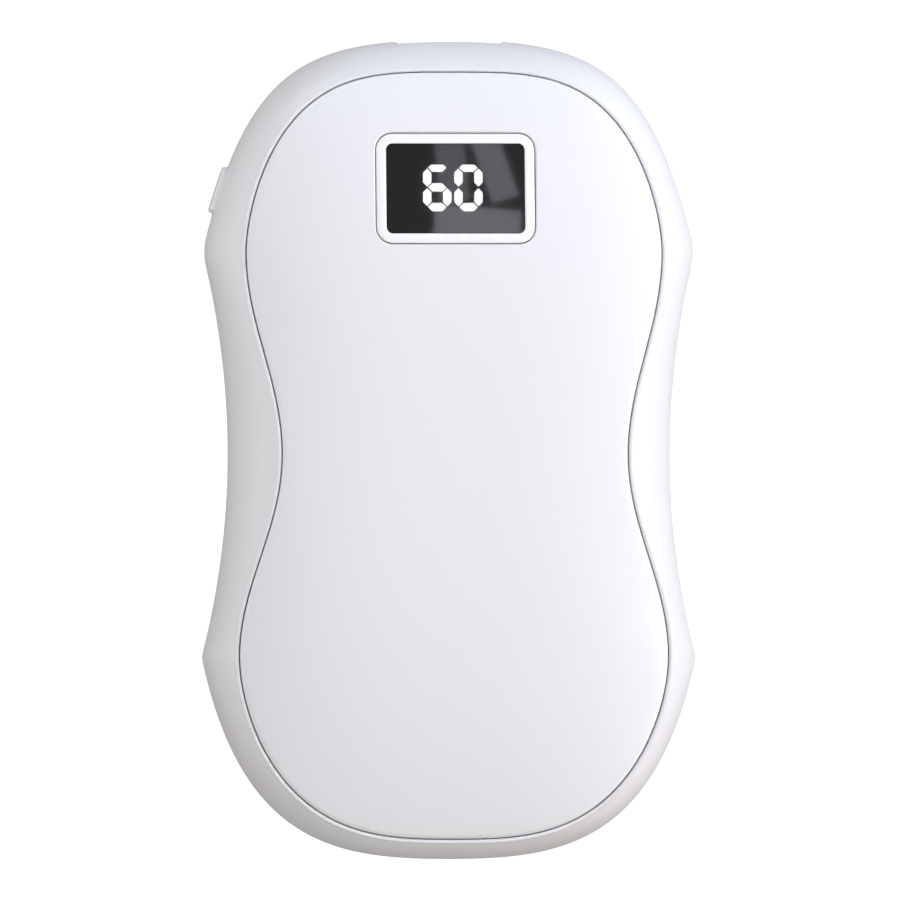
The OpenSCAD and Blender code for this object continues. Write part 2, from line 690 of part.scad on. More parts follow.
// Hook in its own frame: X points outwards, Y runs along the outline
module hook(side, i) {
    p = hook_line[i];
    d = along(hook_line, i);
    root_z = face_z(side, panel_line[i], norm(p) / norm(panel_line[i]), cover_t / 2);
    catch_z = seat_z(side) - side * (ledge_t + rest_gap);
    barb_x = hook_t / 2 + hook_gap + barb_reach;
    tip_z = catch_z - side * barb_h;
    translate([p.x, p.y, 0]) rotate([90, 0, atan2(d.x, -d.y)]) translate([0, 0, -hook_w / 2])
        linear_extrude(hook_w)
            polygon([[-hook_t / 2, root_z], [hook_t / 2, root_z], [hook_t / 2, catch_z],
                     [barb_x, catch_z], [hook_t / 2, tip_z], [-hook_t / 2, tip_z]]);
}
module hooks(side) {
    for (i = hook_steps) {
        hook(side, i);
        hook(side, mirrored(i));
    }
}
module front_cover() color("white") {
    difference() {
        union() {
            cover_shell(1, front_ring_shares);
            hooks(1);
        }
        display_frame()
            rounded_plate(bezel_w + 2 * trim_fit, bezel_l + 2 * trim_fit, bezel_r + trim_fit,
                -bezel_depth, bezel_depth);
    }
}
module rear_cover() color("white") {
    cover_shell(-1, rear_ring_shares);
    hooks(-1);
}

// Display, in a frame on the cover's face that tilts with it

function crown_z(y) = front_z(panel_line[0], y / panel_top, 0);
display_tilt = atan((crown_z(display_y - bezel_l / 2) - crown_z(display_y + bezel_l / 2)) / bezel_l);
module display_frame() {
    translate([0, display_y, crown_z(display_y)]) rotate([-display_tilt, 0, 0]) children();
}
window_back = window_sink + window_t;
module display_bezel() color("whitesmoke") {
    display_frame() difference() {
        union() {
            rounded_plate(bezel_w, bezel_l, bezel_r, -bezel_depth, 0);
            rounded_plate(bezel_w + 2 * bezel_flange, bezel_l + 2 * bezel_flange, bezel_r + bezel_flange,
                -bezel_depth, bezel_flange_t - bezel_depth);
        }
        rounded_plate(window_w + 2 * rest_gap, window_l + 2 * rest_gap, window_r + rest_gap,
            -window_back - rest_gap, cut);
        rounded_plate(window_w - 2 * window_step, window_l - 2 * window_step, window_r,
            -bezel_depth - cut, cut);
    }
}
module display_window() color("dimgray") {
    display_frame() rounded_plate(window_w, window_l, window_r, -window_back, -window_sink);
}
module display_gasket() color("black") {
    frame_w = window_w - 2 * window_step - part_gap;
    frame_l = window_l - 2 * window_step - part_gap;
    low_z = -window_back - rest_gap - gasket_t;
    display_frame() difference() {
        rounded_plate(frame_w, frame_l, window_r, low_z, -window_back - rest_gap);
        block(0, 0, low_z - cut, module_w - part_gap, digit_h + 2 * bar_gap, gasket_t + 2 * cut);
    }
}

// Digits and their module, which stands level on the board

board_low_z = mid + port_h / 2;
board_high_z = board_low_z + board_t;
module_x = -digit_shift;
module_high_z = crown_z(display_y) - (window_back + rest_gap + gasket_t) * cos(display_tilt)
    - (module_l + part_gap) / 2 * tan(display_tilt) - rest_gap;
bar_low_z = module_high_z - bar_t;
pin_places = [for (share = pin_column_shares, side = [-1, 1])
    [module_x + share * module_w, display_y + side * pin_row_share * module_l]];

// Bar of a digit: a flat hexagon with pointed ends
module bar(length) {
    h = bar_w / 2;
    e = length / 2 - bar_gap / sqrt(2);
    linear_extrude(bar_t) polygon([[-e, 0], [h - e, h], [e - h, h], [e, 0], [e - h, -h], [h - e, -h]]);
}
// Seven bars, named a to g clockwise from the top with g in the middle
module digit(x, bars) {
    reach_x = (digit_w - bar_w) / 2;
    reach_y = (digit_h - bar_w) / 2;
    translate([module_x + x, display_y, bar_low_z]) {
        if (search("a", bars)) translate([0, reach_y, 0]) bar(digit_w - bar_w);
        if (search("g", bars)) bar(digit_w - bar_w);
        if (search("d", bars)) translate([0, -reach_y, 0]) bar(digit_w - bar_w);
        if (search("b", bars)) translate([reach_x, reach_y / 2, 0]) rotate(90) bar(reach_y);
        if (search("c", bars)) translate([reach_x, -reach_y / 2, 0]) rotate(90) bar(reach_y);
        if (search("f", bars)) translate([-reach_x, reach_y / 2, 0]) rotate(90) bar(reach_y);
        if (search("e", bars)) translate([-reach_x, -reach_y / 2, 0]) rotate(90) bar(reach_y);
    }
}
module lit_segments() color("white") {
    digit(-digit_pitch / 2, "acdefg");
    digit(digit_pitch / 2, "abcdef");
}
module dark_segments() color("gray") {
    digit(-digit_pitch / 2, "b");
    digit(digit_pitch / 2, "g");
}
module display_module() color("black") {
    block(module_x, display_y, board_high_z, module_w, module_l, bar_low_z - board_high_z);
}
module display_pins() color("silver") {
    for (p = pin_places) post(p.x, p.y, pin_d, board_low_z - pin_end, board_high_z);
}

// Side button and its switch, in a frame on the rim: X points out of the rim, Y runs along it

button_point = outer_top(button_share);
button_slope = outer_top(button_share + slope_share) - outer_top(button_share - slope_share);
button_angle = 180 - atan2(button_slope.x, -button_slope.y);
flange_x = -wall - button_flange_gap;
stem_tip_x = flange_x - button_flange_t - stem_l;
plunger_tip_x = stem_tip_x - touch_gap;
switch_x = plunger_tip_x - plunger_proud;
switch_h = port_h - 2 * rest_gap;
echo(press_axis = [-cos(button_angle), -sin(button_angle), 0]);
echo(button_place = [-button_point.x, button_point.y, mid], display_tilt = display_tilt);

module button_frame() {
    translate([-button_point.x, button_point.y, mid]) rotate([0, 0, button_angle]) children();
}
// Plate across the button's frame from one depth to another
module button_plate(w, h, r, low_x, high_x) {
    translate([low_x, 0, 0]) rotate([90, 0, 90]) linear_extrude(high_x - low_x) rounded_rect(w, h, r);
}
module button_rod(d, low_x, high_x) {
    translate([low_x, 0, 0]) rotate([0, 90, 0]) cylinder(d = d, h = high_x - low_x);
}
module button_cut() {
    button_frame() button_plate(button_l + 2 * button_gap, button_h + 2 * button_gap,
        button_r + button_gap, -wall - cut, button_proud + cut);
}
module power_button() color("white") {
    button_frame() {
        button_plate(button_l, button_h, button_r, flange_x, button_proud);
        button_plate(button_l + 2 * button_flange, button_h + 2 * button_flange,
            button_r + button_flange, flange_x - button_flange_t, flange_x);
        button_rod(stem_d, stem_tip_x, flange_x - button_flange_t);
    }
}
module switch_plunger() color("white") {
    button_frame() button_rod(plunger_d, plunger_tip_x - plunger_l, plunger_tip_x);
}
module switch_body() color("black") {
    button_frame() difference() {
        translate([switch_x - switch_d, -switch_w / 2, -switch_h / 2])
            cube([switch_d - switch_cover_t, switch_w, switch_h]);
        button_rod(plunger_d + 2 * plunger_fit, plunger_tip_x - plunger_l - button_travel - rest_gap,
            switch_x + cut);
    }
}
module switch_cover() color("silver") {
    button_frame() difference() {
        translate([switch_x - switch_cover_t, -switch_w / 2, -switch_h / 2])
            cube([switch_cover_t, switch_w, switch_h]);
        button_rod(plunger_d + 2 * plunger_fit, switch_x - 2 * cut, switch_x + cut);
    }
}

// Charging port

port_mouth_y = top_reach - recess_depth - port_set_back;
port_back_y = port_mouth_y - port_l;
module charging_port_shell() color("silver") {
    difference() {
        port_prism(port_w, port_h, port_back_y, port_mouth_y);
        port_prism(port_w - 2 * port_wall, port_h - 2 * port_wall, port_back_y + port_wall,
            port_mouth_y + cut);
    }
}
module charging_port_tongue() color("black") {
    length = port_l - port_wall - rest_gap - tongue_set_back;
    block(0, port_mouth_y - tongue_set_back - length / 2, mid - tongue_plate_t / 2, tongue_w, length,
        tongue_plate_t);
}
module charging_port_contacts() color("gold") {
    length = port_l * contact_share;
    y = port_mouth_y - tongue_set_back - contact_w - length / 2;
    for (k = [0:contact_count - 1], side = [-1, 1]) {
        block((k - (contact_count - 1) / 2) * contact_pitch, y,
            mid + side * (tongue_plate_t + contact_t) / 2 - contact_t / 2, contact_w, length, contact_t);
    }
}

// Main board and what it carries

board_line = inset(outer_line, wall + board_wall_gap);
board_high_y = top_reach - wall - board_wall_gap;
field_low_y = display_y - module_l / 2 - socket_gap;
field_l = board_high_y - field_low_y;
board_low_y = field_low_y - socket_l - rest_gap;
board_narrow = boss_line[top_boss_step].x - boss_d / 2 - part_gap;
board_wide_y = boss_line[top_boss_step].y + boss_d / 2 + part_gap;
upper_post = inset(tray_line, board_post_d / 2 + part_gap)[upper_post_step];
lower_post = [board_narrow - board_screw_edge, field_low_y + part_gap + board_head_d / 2];
board_screw_places = [for (side = [-1, 1], p = [lower_post, upper_post]) [side * p.x, p.y]];
controller_place_share = [0.302, 0.364];
charger_x = upper_post.x - board_head_d / 2 - part_gap - leg_reach - controller_w / 2;
charger_place_share = [-charger_x / field_w, 0.757];
inductor_x = module_x - module_w / 2 - inductor_gap - inductor_w / 2;
inductor_place_share = [inductor_x / field_w, 0.352];
transistor_place_shares = [[0.054, 0.757], [0.121, 0.757]];
capacitor_place_shares = [[-0.2, 0.578], [-0.13, 0.578], [0.2, 0.26], [0.2, 0.445], [-0.002, 0.769]];
resistor_place_shares = [
    [0.2, 0.179], [0.2, 0.352], [-0.2, 0.179], [-0.07, 0.578], [0.045, 0.815], [0.03, 0.699]
];
socket_place_shares = [-0.16, 0, 0.16];
socket_places = [for (share = socket_place_shares) share * field_w];
socket_low_y = board_low_y + rest_gap;
function on_board(share) = [share.x * field_w, field_low_y + share.y * field_l];
module set_on_board(share, w, l, h) {
    p = on_board(share);
    block(p.x, p.y, board_high_z, w, l, h);
}
module main_board() color("darkgreen") {
    difference() {
        keep_between(board_low_y, board_high_y) slab(board_line, board_low_z, board_high_z);
        if (board_wide_y > board_low_y) for (side = [-1, 1]) {
            block(side * (board_narrow + body_w / 2) / 2, (board_low_y - cut + board_wide_y) / 2,
                board_low_z - cut, body_w / 2 - board_narrow, board_wide_y - board_low_y + cut,
                board_t + 2 * cut);
        }
        button_notch();
        for (p = board_screw_places) {
            post(p.x, p.y, board_screw_d + 2 * screw_fit, board_low_z - cut, board_high_z + cut);
        }
        for (p = pin_places) {
            post(p.x, p.y, pin_d + 2 * screw_fit, board_low_z - cut, board_high_z + cut);
        }
    }
}
// Room in the board's edge for the button's flange
module button_notch() {
    depth = -flange_x + button_flange_t + button_travel + part_gap;
    width = button_l + 2 * (button_flange + part_gap);
    button_frame() translate([-depth, -width / 2, board_low_z - mid - cut])
        cube([depth + cut, width, board_t + 2 * cut]);
}
module board_screws() color("silver") {
    for (p = board_screw_places) {
        post(p.x, p.y, board_head_d, board_high_z, board_high_z + board_head_h);
        post(p.x, p.y, board_screw_d, board_high_z - board_screw_l, board_high_z + board_head_h / 2);
    }
}
// Chip whose legs stand out to the two sides of X
module legged_chip(place_share, w, l, rows) {
    p = on_board(place_share);
    lift = leg_t / 2;
    block(p.x, p.y, board_high_z + lift, w, l, chip_h - lift);
    for (k = [0:rows - 1], side = [-1, 1]) {
        block(p.x + side * (w + leg_reach) / 2, p.y + (k - (rows - 1) / 2) * leg_pitch, board_high_z,
            leg_reach, leg_w, leg_t);
    }
}
module microcontroller() color("black") legged_chip(controller_place_share, controller_w, controller_l, 7);
module charging_chip() color("black") legged_chip(charger_place_share, controller_w, charger_l, 4);
module power_inductor() color("dimgray") {
    p = on_board(inductor_place_share);
    foot = inductor_h * inductor_foot_share;
    block(p.x, p.y, board_high_z, inductor_w, inductor_w, foot);
    post(p.x, p.y, inductor_w * inductor_core_share, board_high_z + foot, board_high_z + inductor_h - foot);
    block(p.x, p.y, board_high_z + inductor_h - foot, inductor_w, inductor_w, foot);
}
module power_transistors() color("black") {
    for (share = transistor_place_shares) set_on_board(share, transistor_l, transistor_w, transistor_h);
}
module capacitors() color("tan") {
    for (share = capacitor_place_shares) set_on_board(share, capacitor_l, capacitor_w, capacitor_h);
}
module resistors() color("black") {
    for (share = resistor_place_shares) set_on_board(share, resistor_l, resistor_w, resistor_h);
}
module lead_sockets() color("ivory") {
    for (x = socket_places) difference() {
        block(x, socket_low_y + socket_l / 2, board_high_z, socket_w, socket_l, socket_h);
        block(x, socket_low_y + (socket_l - socket_wall - cut) / 2, board_high_z + socket_wall,
            socket_w - 2 * socket_wall, socket_l - socket_wall + cut, socket_h - 2 * socket_wall);
    }
}
plug_low_y = socket_low_y - plug_proud;
plug_face = plug_low_y - lead_gap;
plug_z = board_high_z + socket_h / 2;
module lead_plugs() color("ivory") {
    length = socket_l - socket_wall - rest_gap + plug_proud;
    height = socket_h - 2 * (socket_wall + rest_gap);
    for (x = socket_places) {
        block(x, plug_low_y + length / 2, plug_z - height / 2, socket_w - 2 * (socket_wall + rest_gap),
            length, height);
    }
}

// Inner tray, clamped by its ears between the halves of the housing

tray_low_z = rear_seat_z + ledge_t + rest_gap;
tray_high_z = tray_low_z + tray_t;
cell_low_y = boss_line[bottom_boss_step].y + boss_d / 2 + 2 * part_gap + tray_wall;
cell_end_l = tab_l + guard_t + fuse_stand + fuse_d + lead_room;
cell_high_y = min(board_low_y - cell_end_l,
    boss_line[top_boss_step].y - boss_d / 2 - 2 * part_gap - tray_wall);
cell_l = cell_high_y - cell_low_y;
cell_w = waist_w - 2 * (rim_waist + cell_side_gap);
cell_low_z = tray_high_z + adhesive_t + 2 * rest_gap;
cell_high_z = front_seat_z - ledge_t - 2 * part_gap;
pen_w = cell_w + 2 * part_gap;
// Ear at a boss below the cell
module lower_ear(p) {
    wall_y = cell_low_y - part_gap - tray_wall / 2;
    post(p.x, p.y, boss_d, ear_low_z, ear_high_z);
    block(p.x, (p.y + wall_y) / 2, ear_low_z, boss_d, wall_y - p.y, ear_t);
}
// Ear at a boss above the cell: an arm that goes on from the wall beside the cell, and a foot
// across to the boss
module upper_ear(p) {
    side = sign(p.x);
    arm_x = pen_w / 2 + ear_w / 2;
    foot_w = abs(arm_x - abs(p.x)) + ear_w;
    post(p.x, p.y, boss_d, ear_low_z, ear_high_z);
    block(side * arm_x, (p.y + cell_high_y - cut) / 2, ear_low_z, ear_w, p.y - cell_high_y + cut, ear_t);
    block(side * (arm_x + abs(p.x)) / 2, p.y, ear_low_z, foot_w, ear_w, ear_t);
}
module inner_tray() color("gainsboro") {
    bay_low_y = cell_high_y + tab_l + guard_t + part_gap;
    pen_low_z = tray_low_z + tray_t / 2;
    difference() {
        union() {
            slab(tray_line, tray_low_z, tray_high_z);
            difference() {
                translate([-pen_w / 2 - tray_wall, cell_low_y - part_gap - tray_wall, pen_low_z])
                    cube([pen_w + 2 * tray_wall, cell_l + 2 * tray_wall + part_gap,
                          ear_high_z - pen_low_z]);
                translate([-pen_w / 2, cell_low_y - part_gap, tray_low_z - cut])
                    cube([pen_w, cell_l + part_gap + 2 * tray_wall + cut, body_t]);
            }
            for (p = boss_places) if (p.y > 0) upper_ear(p); else lower_ear(p);
            for (p = board_screw_places) post(p.x, p.y, board_post_d, tray_low_z, board_low_z - rest_gap);
        }
        for (p = boss_places) {
            post(p.x, p.y, boss_d + 2 * part_gap, tray_low_z - cut, ear_low_z);
            post(p.x, p.y, screw_d + 2 * screw_fit, ear_low_z - cut, ear_high_z + cut);
        }
        for (p = board_screw_places) {
            post(p.x, p.y, board_screw_d + 2 * screw_fit, board_high_z - board_screw_l - part_gap,
                mid + body_t);
        }
        for (i = hook_steps, k = [i, mirrored(i)]) hook_slot(k);
        translate([-lead_slot_w / 2, bay_low_y, tray_low_z - cut])
            cube([lead_slot_w, board_low_y - bay_low_y, tray_t + 2 * cut]);
    }
}
module hook_slot(i) {
    d = along(hook_line, i);
    translate([hook_line[i].x, hook_line[i].y, tray_low_z - cut]) rotate(atan2(d.x, -d.y))
        translate([-hook_t / 2 - part_gap, -hook_w / 2 - part_gap, 0])
            cube([ledge_w, hook_w + 2 * part_gap, tray_t + 2 * cut]);
}

// Battery

module battery_cell() color("lightsteelblue") {
    height = cell_high_z - cell_low_z;
    translate([0, cell_high_y, (cell_low_z + cell_high_z) / 2]) rotate([90, 0, 0]) linear_extrude(cell_l)
        rounded_rect(cell_w, height, cell_r);
}
module battery_adhesive_pad() color("khaki") {
    block(0, cell_low_y + cell_l / 2, tray_high_z + rest_gap, adhesive_w, adhesive_l, adhesive_t);
}
guard_low_y = cell_high_y + tab_l;
guard_high_y = guard_low_y + guard_t;
guard_low_z = mid - guard_h * guard_drop_share;
module battery_tabs() color("silver") {
    for (x = [-1, 1]) block(x * tab_x, cell_high_y + tab_l / 2, mid, tab_w, tab_l, tab_t);
}
module protection_board() color("darkgreen") {
    block(0, (guard_low_y + guard_high_y) / 2, guard_low_z, guard_w, guard_t, guard_h);
}
fuse_x = guard_w / 4;
fuse_y = guard_high_y + fuse_stand + fuse_d / 2;
fuse_z = guard_low_z + fuse_d;
module thermal_fuse() color("white") {
    leg_end = fuse_l / 2 + fuse_leg_reach;
    translate([fuse_x, fuse_y, fuse_z]) {
        rotate([0, 90, 0]) cylinder(d = fuse_d, h = fuse_l, center = true);
        rotate([0, 90, 0]) cylinder(d = fuse_leg_d, h = 2 * leg_end, center = true);
        for (side = [-1, 1]) translate([side * leg_end, 0, 0]) {
            sphere(d = fuse_leg_d);
            rotate([90, 0, 0]) cylinder(d = fuse_leg_d, h = fuse_y - guard_high_y - rest_gap);
        }
    }
}

// Heaters: a spreader, a film and a pad behind each cover

spreader_end = display_y - bezel_l / 2 - bezel_flange - spreader_gap;
film_end = board_low_y - film_gap;
sensor_y = film_end - sensor_from_end;
pad_end = sensor_y - sensor_l / 2 - pad_gap;
heater_start = -boss_line[bottom_boss_step].y - boss_d / 2 - part_gap;
spreader_depth = cover_t + rest_gap;
film_depth = spreader_depth + spreader_t + rest_gap;
film_back = film_depth + film_t;
module heat_spreader(side) color("lightgray") {
    keep_between(-heater_start, spreader_end)
        sheet(side, 2, heater_inset, spreader_depth, spreader_depth + spreader_t);
}
module heater_film(side) color("orange") {
    keep_between(-heater_start, film_end) sheet(side, 2, heater_inset, film_depth, film_back);
}
module insulation_pad(side, back_z) color("lightyellow") {
    base = every(panel_line, 2);
    line = every(inset(panel_line, heater_inset), 2);
    near = [for (s = sheet_ring_shares) face_ring(side, base, line, s, film_back + rest_gap)];
    keep_between(-heater_start, pad_end)
        closed_skin([0, 0, face_z(side, base[0], 0, film_back + rest_gap)],
            concat(near, [level(line, back_z)]), [0, 0, back_z], side < 0);
}
module front_heat_spreader() heat_spreader(1);
module rear_heat_spreader() heat_spreader(-1);
module front_heater_film() heater_film(1);
module rear_heater_film() heater_film(-1);
module front_insulation_pad() insulation_pad(1, cell_high_z + rest_gap);
module rear_insulation_pad() insulation_pad(-1, tray_low_z - rest_gap);

front_film_z = front_z(panel_line[0], film_end / panel_top, film_back + rest_gap);
rear_film_z = film_back + rest_gap;
front_sensor_x = socket_places[1] - lead_pitch;
rear_sensor_x = socket_places[1] + lead_pitch;
module front_temperature_sensor() color("black") {
    block(front_sensor_x, sensor_y, front_film_z - sensor_h, sensor_w, sensor_l, sensor_h);
}
module rear_temperature_sensor() color("black") {
    block(rear_sensor_x, sensor_y, rear_film_z, sensor_w, sensor_l, sensor_h);
}

// Leads: a tube of eight sides on a smooth curve through a route's points

tube_sides = 8;
curve_steps = 2;
function curve_at(p, k, t) =
    let (a = p[max(0, k - 1)], b = p[k], c = p[k + 1], d = p[min(len(p) - 1, k + 2)])
    0.5 * ((2 * b) + (c - a) * t + (2 * a - 5 * b + 4 * c - d) * t ^ 2 + (3 * b - a - 3 * c + d) * t ^ 3);
function smooth_route(p) = concat([for (k = [0:len(p) - 2]) for (j = [0:curve_steps - 1])
    curve_at(p, k, j / curve_steps)], [p[len(p) - 1]]);
function heading(path, i) =
    let (d = path[min(len(path) - 1, i + 1)] - path[max(0, i - 1)]) d / norm(d);
module lead(points, d) {
    path = smooth_route(points);
    last = len(path) - 1;
    rings = [for (i = [0:last])
        let (way = heading(path, i), across = cross(way, [1, 0, 0]), u = across / norm(across),
             w = cross(way, u))
        [for (k = [0:tube_sides - 1]) let (a = 360 * k / tube_sides)
            path[i] + d / 2 * (cos(a) * u + sin(a) * w)]];
    closed_skin(path[0], rings, path[last], false);
}
function shifted(points, by) = [for (p = points) p + by];

// Routes in planes of constant X, from film, sensor and protection board to the plugs
heater_plug_x = socket_places[0];
battery_plug_x = socket_places[2];
front_start_z = front_film_z - lead_d / 2 - lead_gap;
rear_start_z = rear_film_z + lead_d / 2 + lead_gap;
plug_end = [[0, -lead_d, plug_z], [0, 0, plug_z]];
front_route = shifted(concat([[0, -4.7, front_start_z - 0.2], [0, -2.7, 20.4], [0, -2.1, 18]], plug_end),
    [0, plug_face, 0]);
rear_route = shifted(concat([[0, -4.7, rear_start_z], [0, -2.7, 4.6], [0, -2.1, 8], [0, -2.1, 12],
    [0, -1.7, 15]], plug_end), [0, plug_face, 0]);
function front_route_from(y) = concat([[0, y, front_start_z]], front_route);
function rear_route_from(y) = concat([[0, y, rear_start_z]], rear_route);
heater_lead_y = film_end - lead_d;
sensor_lead_y = sensor_y + sensor_l / 2 + lead_gap;
battery_route = concat([[0, guard_high_y + lead_gap, 14]],
    shifted(concat([[0, -3.1, 14], [0, -1.7, 15.2]], plug_end), [0, plug_face, 0]));

// Pair of leads side by side about a place across the body
module lead_pair(x, route) {
    lead(shifted(route, [x - lead_pitch / 2, 0, 0]), lead_d);
    lead(shifted(route, [x + lead_pitch / 2, 0, 0]), lead_d);
}
module front_heater_leads() color("red") {
    lead_pair(heater_plug_x + lead_pitch, front_route_from(heater_lead_y));
}
module rear_heater_leads() color("red") {
    lead_pair(heater_plug_x - lead_pitch, rear_route_from(heater_lead_y));
}
module front_sensor_leads() color("white") lead_pair(front_sensor_x, front_route_from(sensor_lead_y));
module rear_sensor_leads() color("white") lead_pair(rear_sensor_x, rear_route_from(sensor_lead_y));
module battery_lead_red() color("red") {
    lead(shifted(battery_route, [battery_plug_x + lead_pitch, 0, 0]), battery_lead_d);
}
module battery_lead_black() color("black") {
    lead(shifted(battery_route, [battery_plug_x - lead_pitch, 0, 0]), battery_lead_d);
}

front_housing();
rear_housing();
front_cover();
rear_cover();
display_bezel();
display_window();
display_gasket();
display_module();
lit_segments();
dark_segments();
display_pins();
power_button();
switch_plunger();
switch_body();
switch_cover();
charging_port_shell();
charging_port_tongue();
charging_port_contacts();
main_board();
board_screws();
microcontroller();
charging_chip();
power_inductor();
power_transistors();
capacitors();
resistors();
lead_sockets();
lead_plugs();
inner_tray();
housing_screws();
battery_cell();
battery_adhesive_pad();
battery_tabs();
protection_board();
thermal_fuse();
battery_lead_red();
battery_lead_black();
front_heat_spreader();
front_heater_film();
front_insulation_pad();
front_temperature_sensor();
front_heater_leads();
front_sensor_leads();
rear_heat_spreader();
rear_heater_film();
rear_insulation_pad();
rear_temperature_sensor();
rear_heater_leads();
rear_sensor_leads();
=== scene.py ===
"""Looks of a rechargeable hand warmer: fine mouldings, dark lens, finishes, light and camera.

Sizes are in millimetres, and finished() brings each piece to metres. They repeat the part's own, except
that the port end and its recess are cut back by a few hundredths, the front dome is a little fuller, the
grooves are narrower and their edges are rounded.
"""

import bisect
import math

import bmesh
import bpy
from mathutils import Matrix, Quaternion, Vector


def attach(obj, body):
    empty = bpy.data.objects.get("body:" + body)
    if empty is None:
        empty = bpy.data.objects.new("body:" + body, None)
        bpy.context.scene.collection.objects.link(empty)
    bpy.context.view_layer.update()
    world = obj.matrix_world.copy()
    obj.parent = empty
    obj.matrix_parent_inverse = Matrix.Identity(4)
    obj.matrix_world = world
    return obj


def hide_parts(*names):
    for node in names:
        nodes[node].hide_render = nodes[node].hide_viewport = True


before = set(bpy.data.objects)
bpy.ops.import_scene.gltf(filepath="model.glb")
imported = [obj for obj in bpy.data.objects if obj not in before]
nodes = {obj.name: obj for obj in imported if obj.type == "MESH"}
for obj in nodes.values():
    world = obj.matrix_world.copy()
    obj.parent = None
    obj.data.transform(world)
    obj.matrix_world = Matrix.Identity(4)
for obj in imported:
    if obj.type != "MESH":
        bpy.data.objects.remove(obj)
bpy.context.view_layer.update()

MM = 0.001

# Body
TOP_REACH, BOTTOM_REACH = 50.25, 50.0
BODY_T = 25.0
MID = BODY_T / 2
WAIST_HALF = 27.1
TOP_SHOULDER = (30.2, 24.3)
BOTTOM_SHOULDER = (30.3, 25.3)
TOP_HANDLES, TOP_FLARE = (17.7, 22.7), math.radians(13.3)
BOTTOM_HANDLES, BOTTOM_FLARE = (13.6, 23.2), math.radians(12.1)
WALL = 2.0
PARTING_GAP, PARTING_EDGE_R = 0.1, 0.16

# Rim, groove and covers
RIM_TOP, RIM_BOTTOM, RIM_WAIST = 3.95, 2.45, 5.85
RIM_TOP_SHOULDER, RIM_BOTTOM_SHOULDER = 4.65, 3.95
RIM_LEAN = math.radians(18)
TOP_POWERS, BOTTOM_POWERS = (3.5, 1.65), (3.0, 1.735)
FRONT_DOME, REAR_DOME, END_DROP = 3.2, 2.4, 1.0
DOME_POWER, FLAT_SHARE = 3.3, 0.6
GROOVE_W = 0.11
COVER_T, SKIRT_T = 1.6, 1.2
SEAT_DEPTH, LEDGE_W, LEDGE_T = 1.6, 3.0, 1.2
SEAT_GAP = 0.05
INNER_STEP = 0.7
PANEL_TOP = TOP_REACH - RIM_TOP
PANEL_BOTTOM = BOTTOM_REACH - RIM_BOTTOM
EDGE_R = 0.2
COVER_EDGE_R, RIM_EDGE_R = 0.5, 0.42

# Steps round an end and along the waist, and roundness of the outer shoulders
CAP_STEPS, WAIST_STEPS = 60, 72
EASE = 0.35
TOP_SOFT, BOTTOM_SOFT = 1.8, 0.55
SOFT_SAMPLES, LEAST_SOFT = 6, 0.01

# Fineness of the meshes: rings of a cover's face and of the rim, the shares where they lie, and edge steps
FACE_RINGS, RIM_RINGS = 44, 26
BACK_SHARES = (0.02, 0.35, 0.6, 0.8, 0.92, 1)
RIM_FIRST_SHARE, RIM_SPAN_SHARE = 0.13, 0.855
INNER_RIM_SHARES = (0.75, 0.5)
CORNER_STEPS, EDGE_STEPS, FINE_EDGE_STEPS, CAP_EDGE_STEPS = 8, 4, 6, 5
TURN_STEPS = 24
SHARP_ANGLE = math.radians(32)

# Small fits: radius left at the pole of a turned shape, play that keeps a round corner under half its side,
# least overlap of two cuts, overrun of a cutter, and distance at which two points are one
POLE_R, ROUND_PLAY, TOUCH, OVERRUN, SAME_PLACE = 0.02, 0.02, 0.001, 0.5, 1e-5

# Display
DISPLAY_Y = 32.0
BEZEL = (19.4, 13.4, 2.0)
BEZEL_DEPTH = 2.8
BEZEL_FLANGE = (0.8, 0.7)
WINDOW = (17.0, 10.9, 0.9)
WINDOW_SINK, WINDOW_T, WINDOW_STEP = 0.25, 1.0, 0.6
LENS_CROWN, LENS_PLAY, LENS_SLOPE_SPAN = 0.25, 0.04, 5
LENS_GRID, LENS_CUT_T = (90, 60), 3
BEZEL_SINK, BEZEL_LIP_R, SHELF_GAP = 0.03, 0.1, 0.15
LEAST_CORNER_R = 0.3
TRIM_FIT, TRIM_HOLE_DEPTH = 0.12, 5.0
BORDER_GAP, BORDER_T, BORDER_PLAY, BORDER_LAP = 0.03, 0.05, 0.02, 0.1

# Button
BUTTON = (5.9, 3.2, 1.1)
BUTTON_PLACE = Vector((-28.1249, 31.8208, MID))
BUTTON_AXIS = Vector((-0.950598, 0.310423, 0.0))
BUTTON_PROUD, BUTTON_GAP = 0.55, 0.15
BUTTON_EDGE_R, BUTTON_CUT = 0.32, (-3, 2)
BUTTON_CROWN = ((0.5, 0.4, 0.35, 0.04), (0.1, 0.1, 0.08, 0.05))
FLANGE_X, FLANGE_T, FLANGE_W = -2.5, 0.8, 0.6
STEM_D, STEM_L, STEM_PLAY = 2.0, 0.5, 0.01

# Charging port
PORT_W, PORT_H, PORT_WALL, PORT_L = 8.94, 3.26, 0.31, 7.3
PORT_GAP, PORT_SET_BACK = 0.15, 0.37
PORT_LIP, PORT_CUT_IN, PORT_CUT_OUT = 0.2, 4, 0.4
RECESS_W, RECESS_H, RECESS_DEPTH, RECESS_FLARE = 13.3, 7.0, 0.26, 0.35
RECESS_STEP, RECESS_OVERRUN = 0.05, 3
RECESS_Y = TOP_REACH - RECESS_DEPTH

# Bosses and their screws
BOSS_PLACES = ((20.547, 24.3), (-20.547, 24.3), (12.016, -41.05), (-12.016, -41.05))
BOSS_R, SCREW_R, COUNTERBORE_R = 3.0, 1.05, 2.1
BOSS_FLOOR_T = 2.2
EAR_T, HEAD_H, HEAD_GAP = 1.2, 1.4, 0.3


# Outlines, clockwise from the crown of the port end

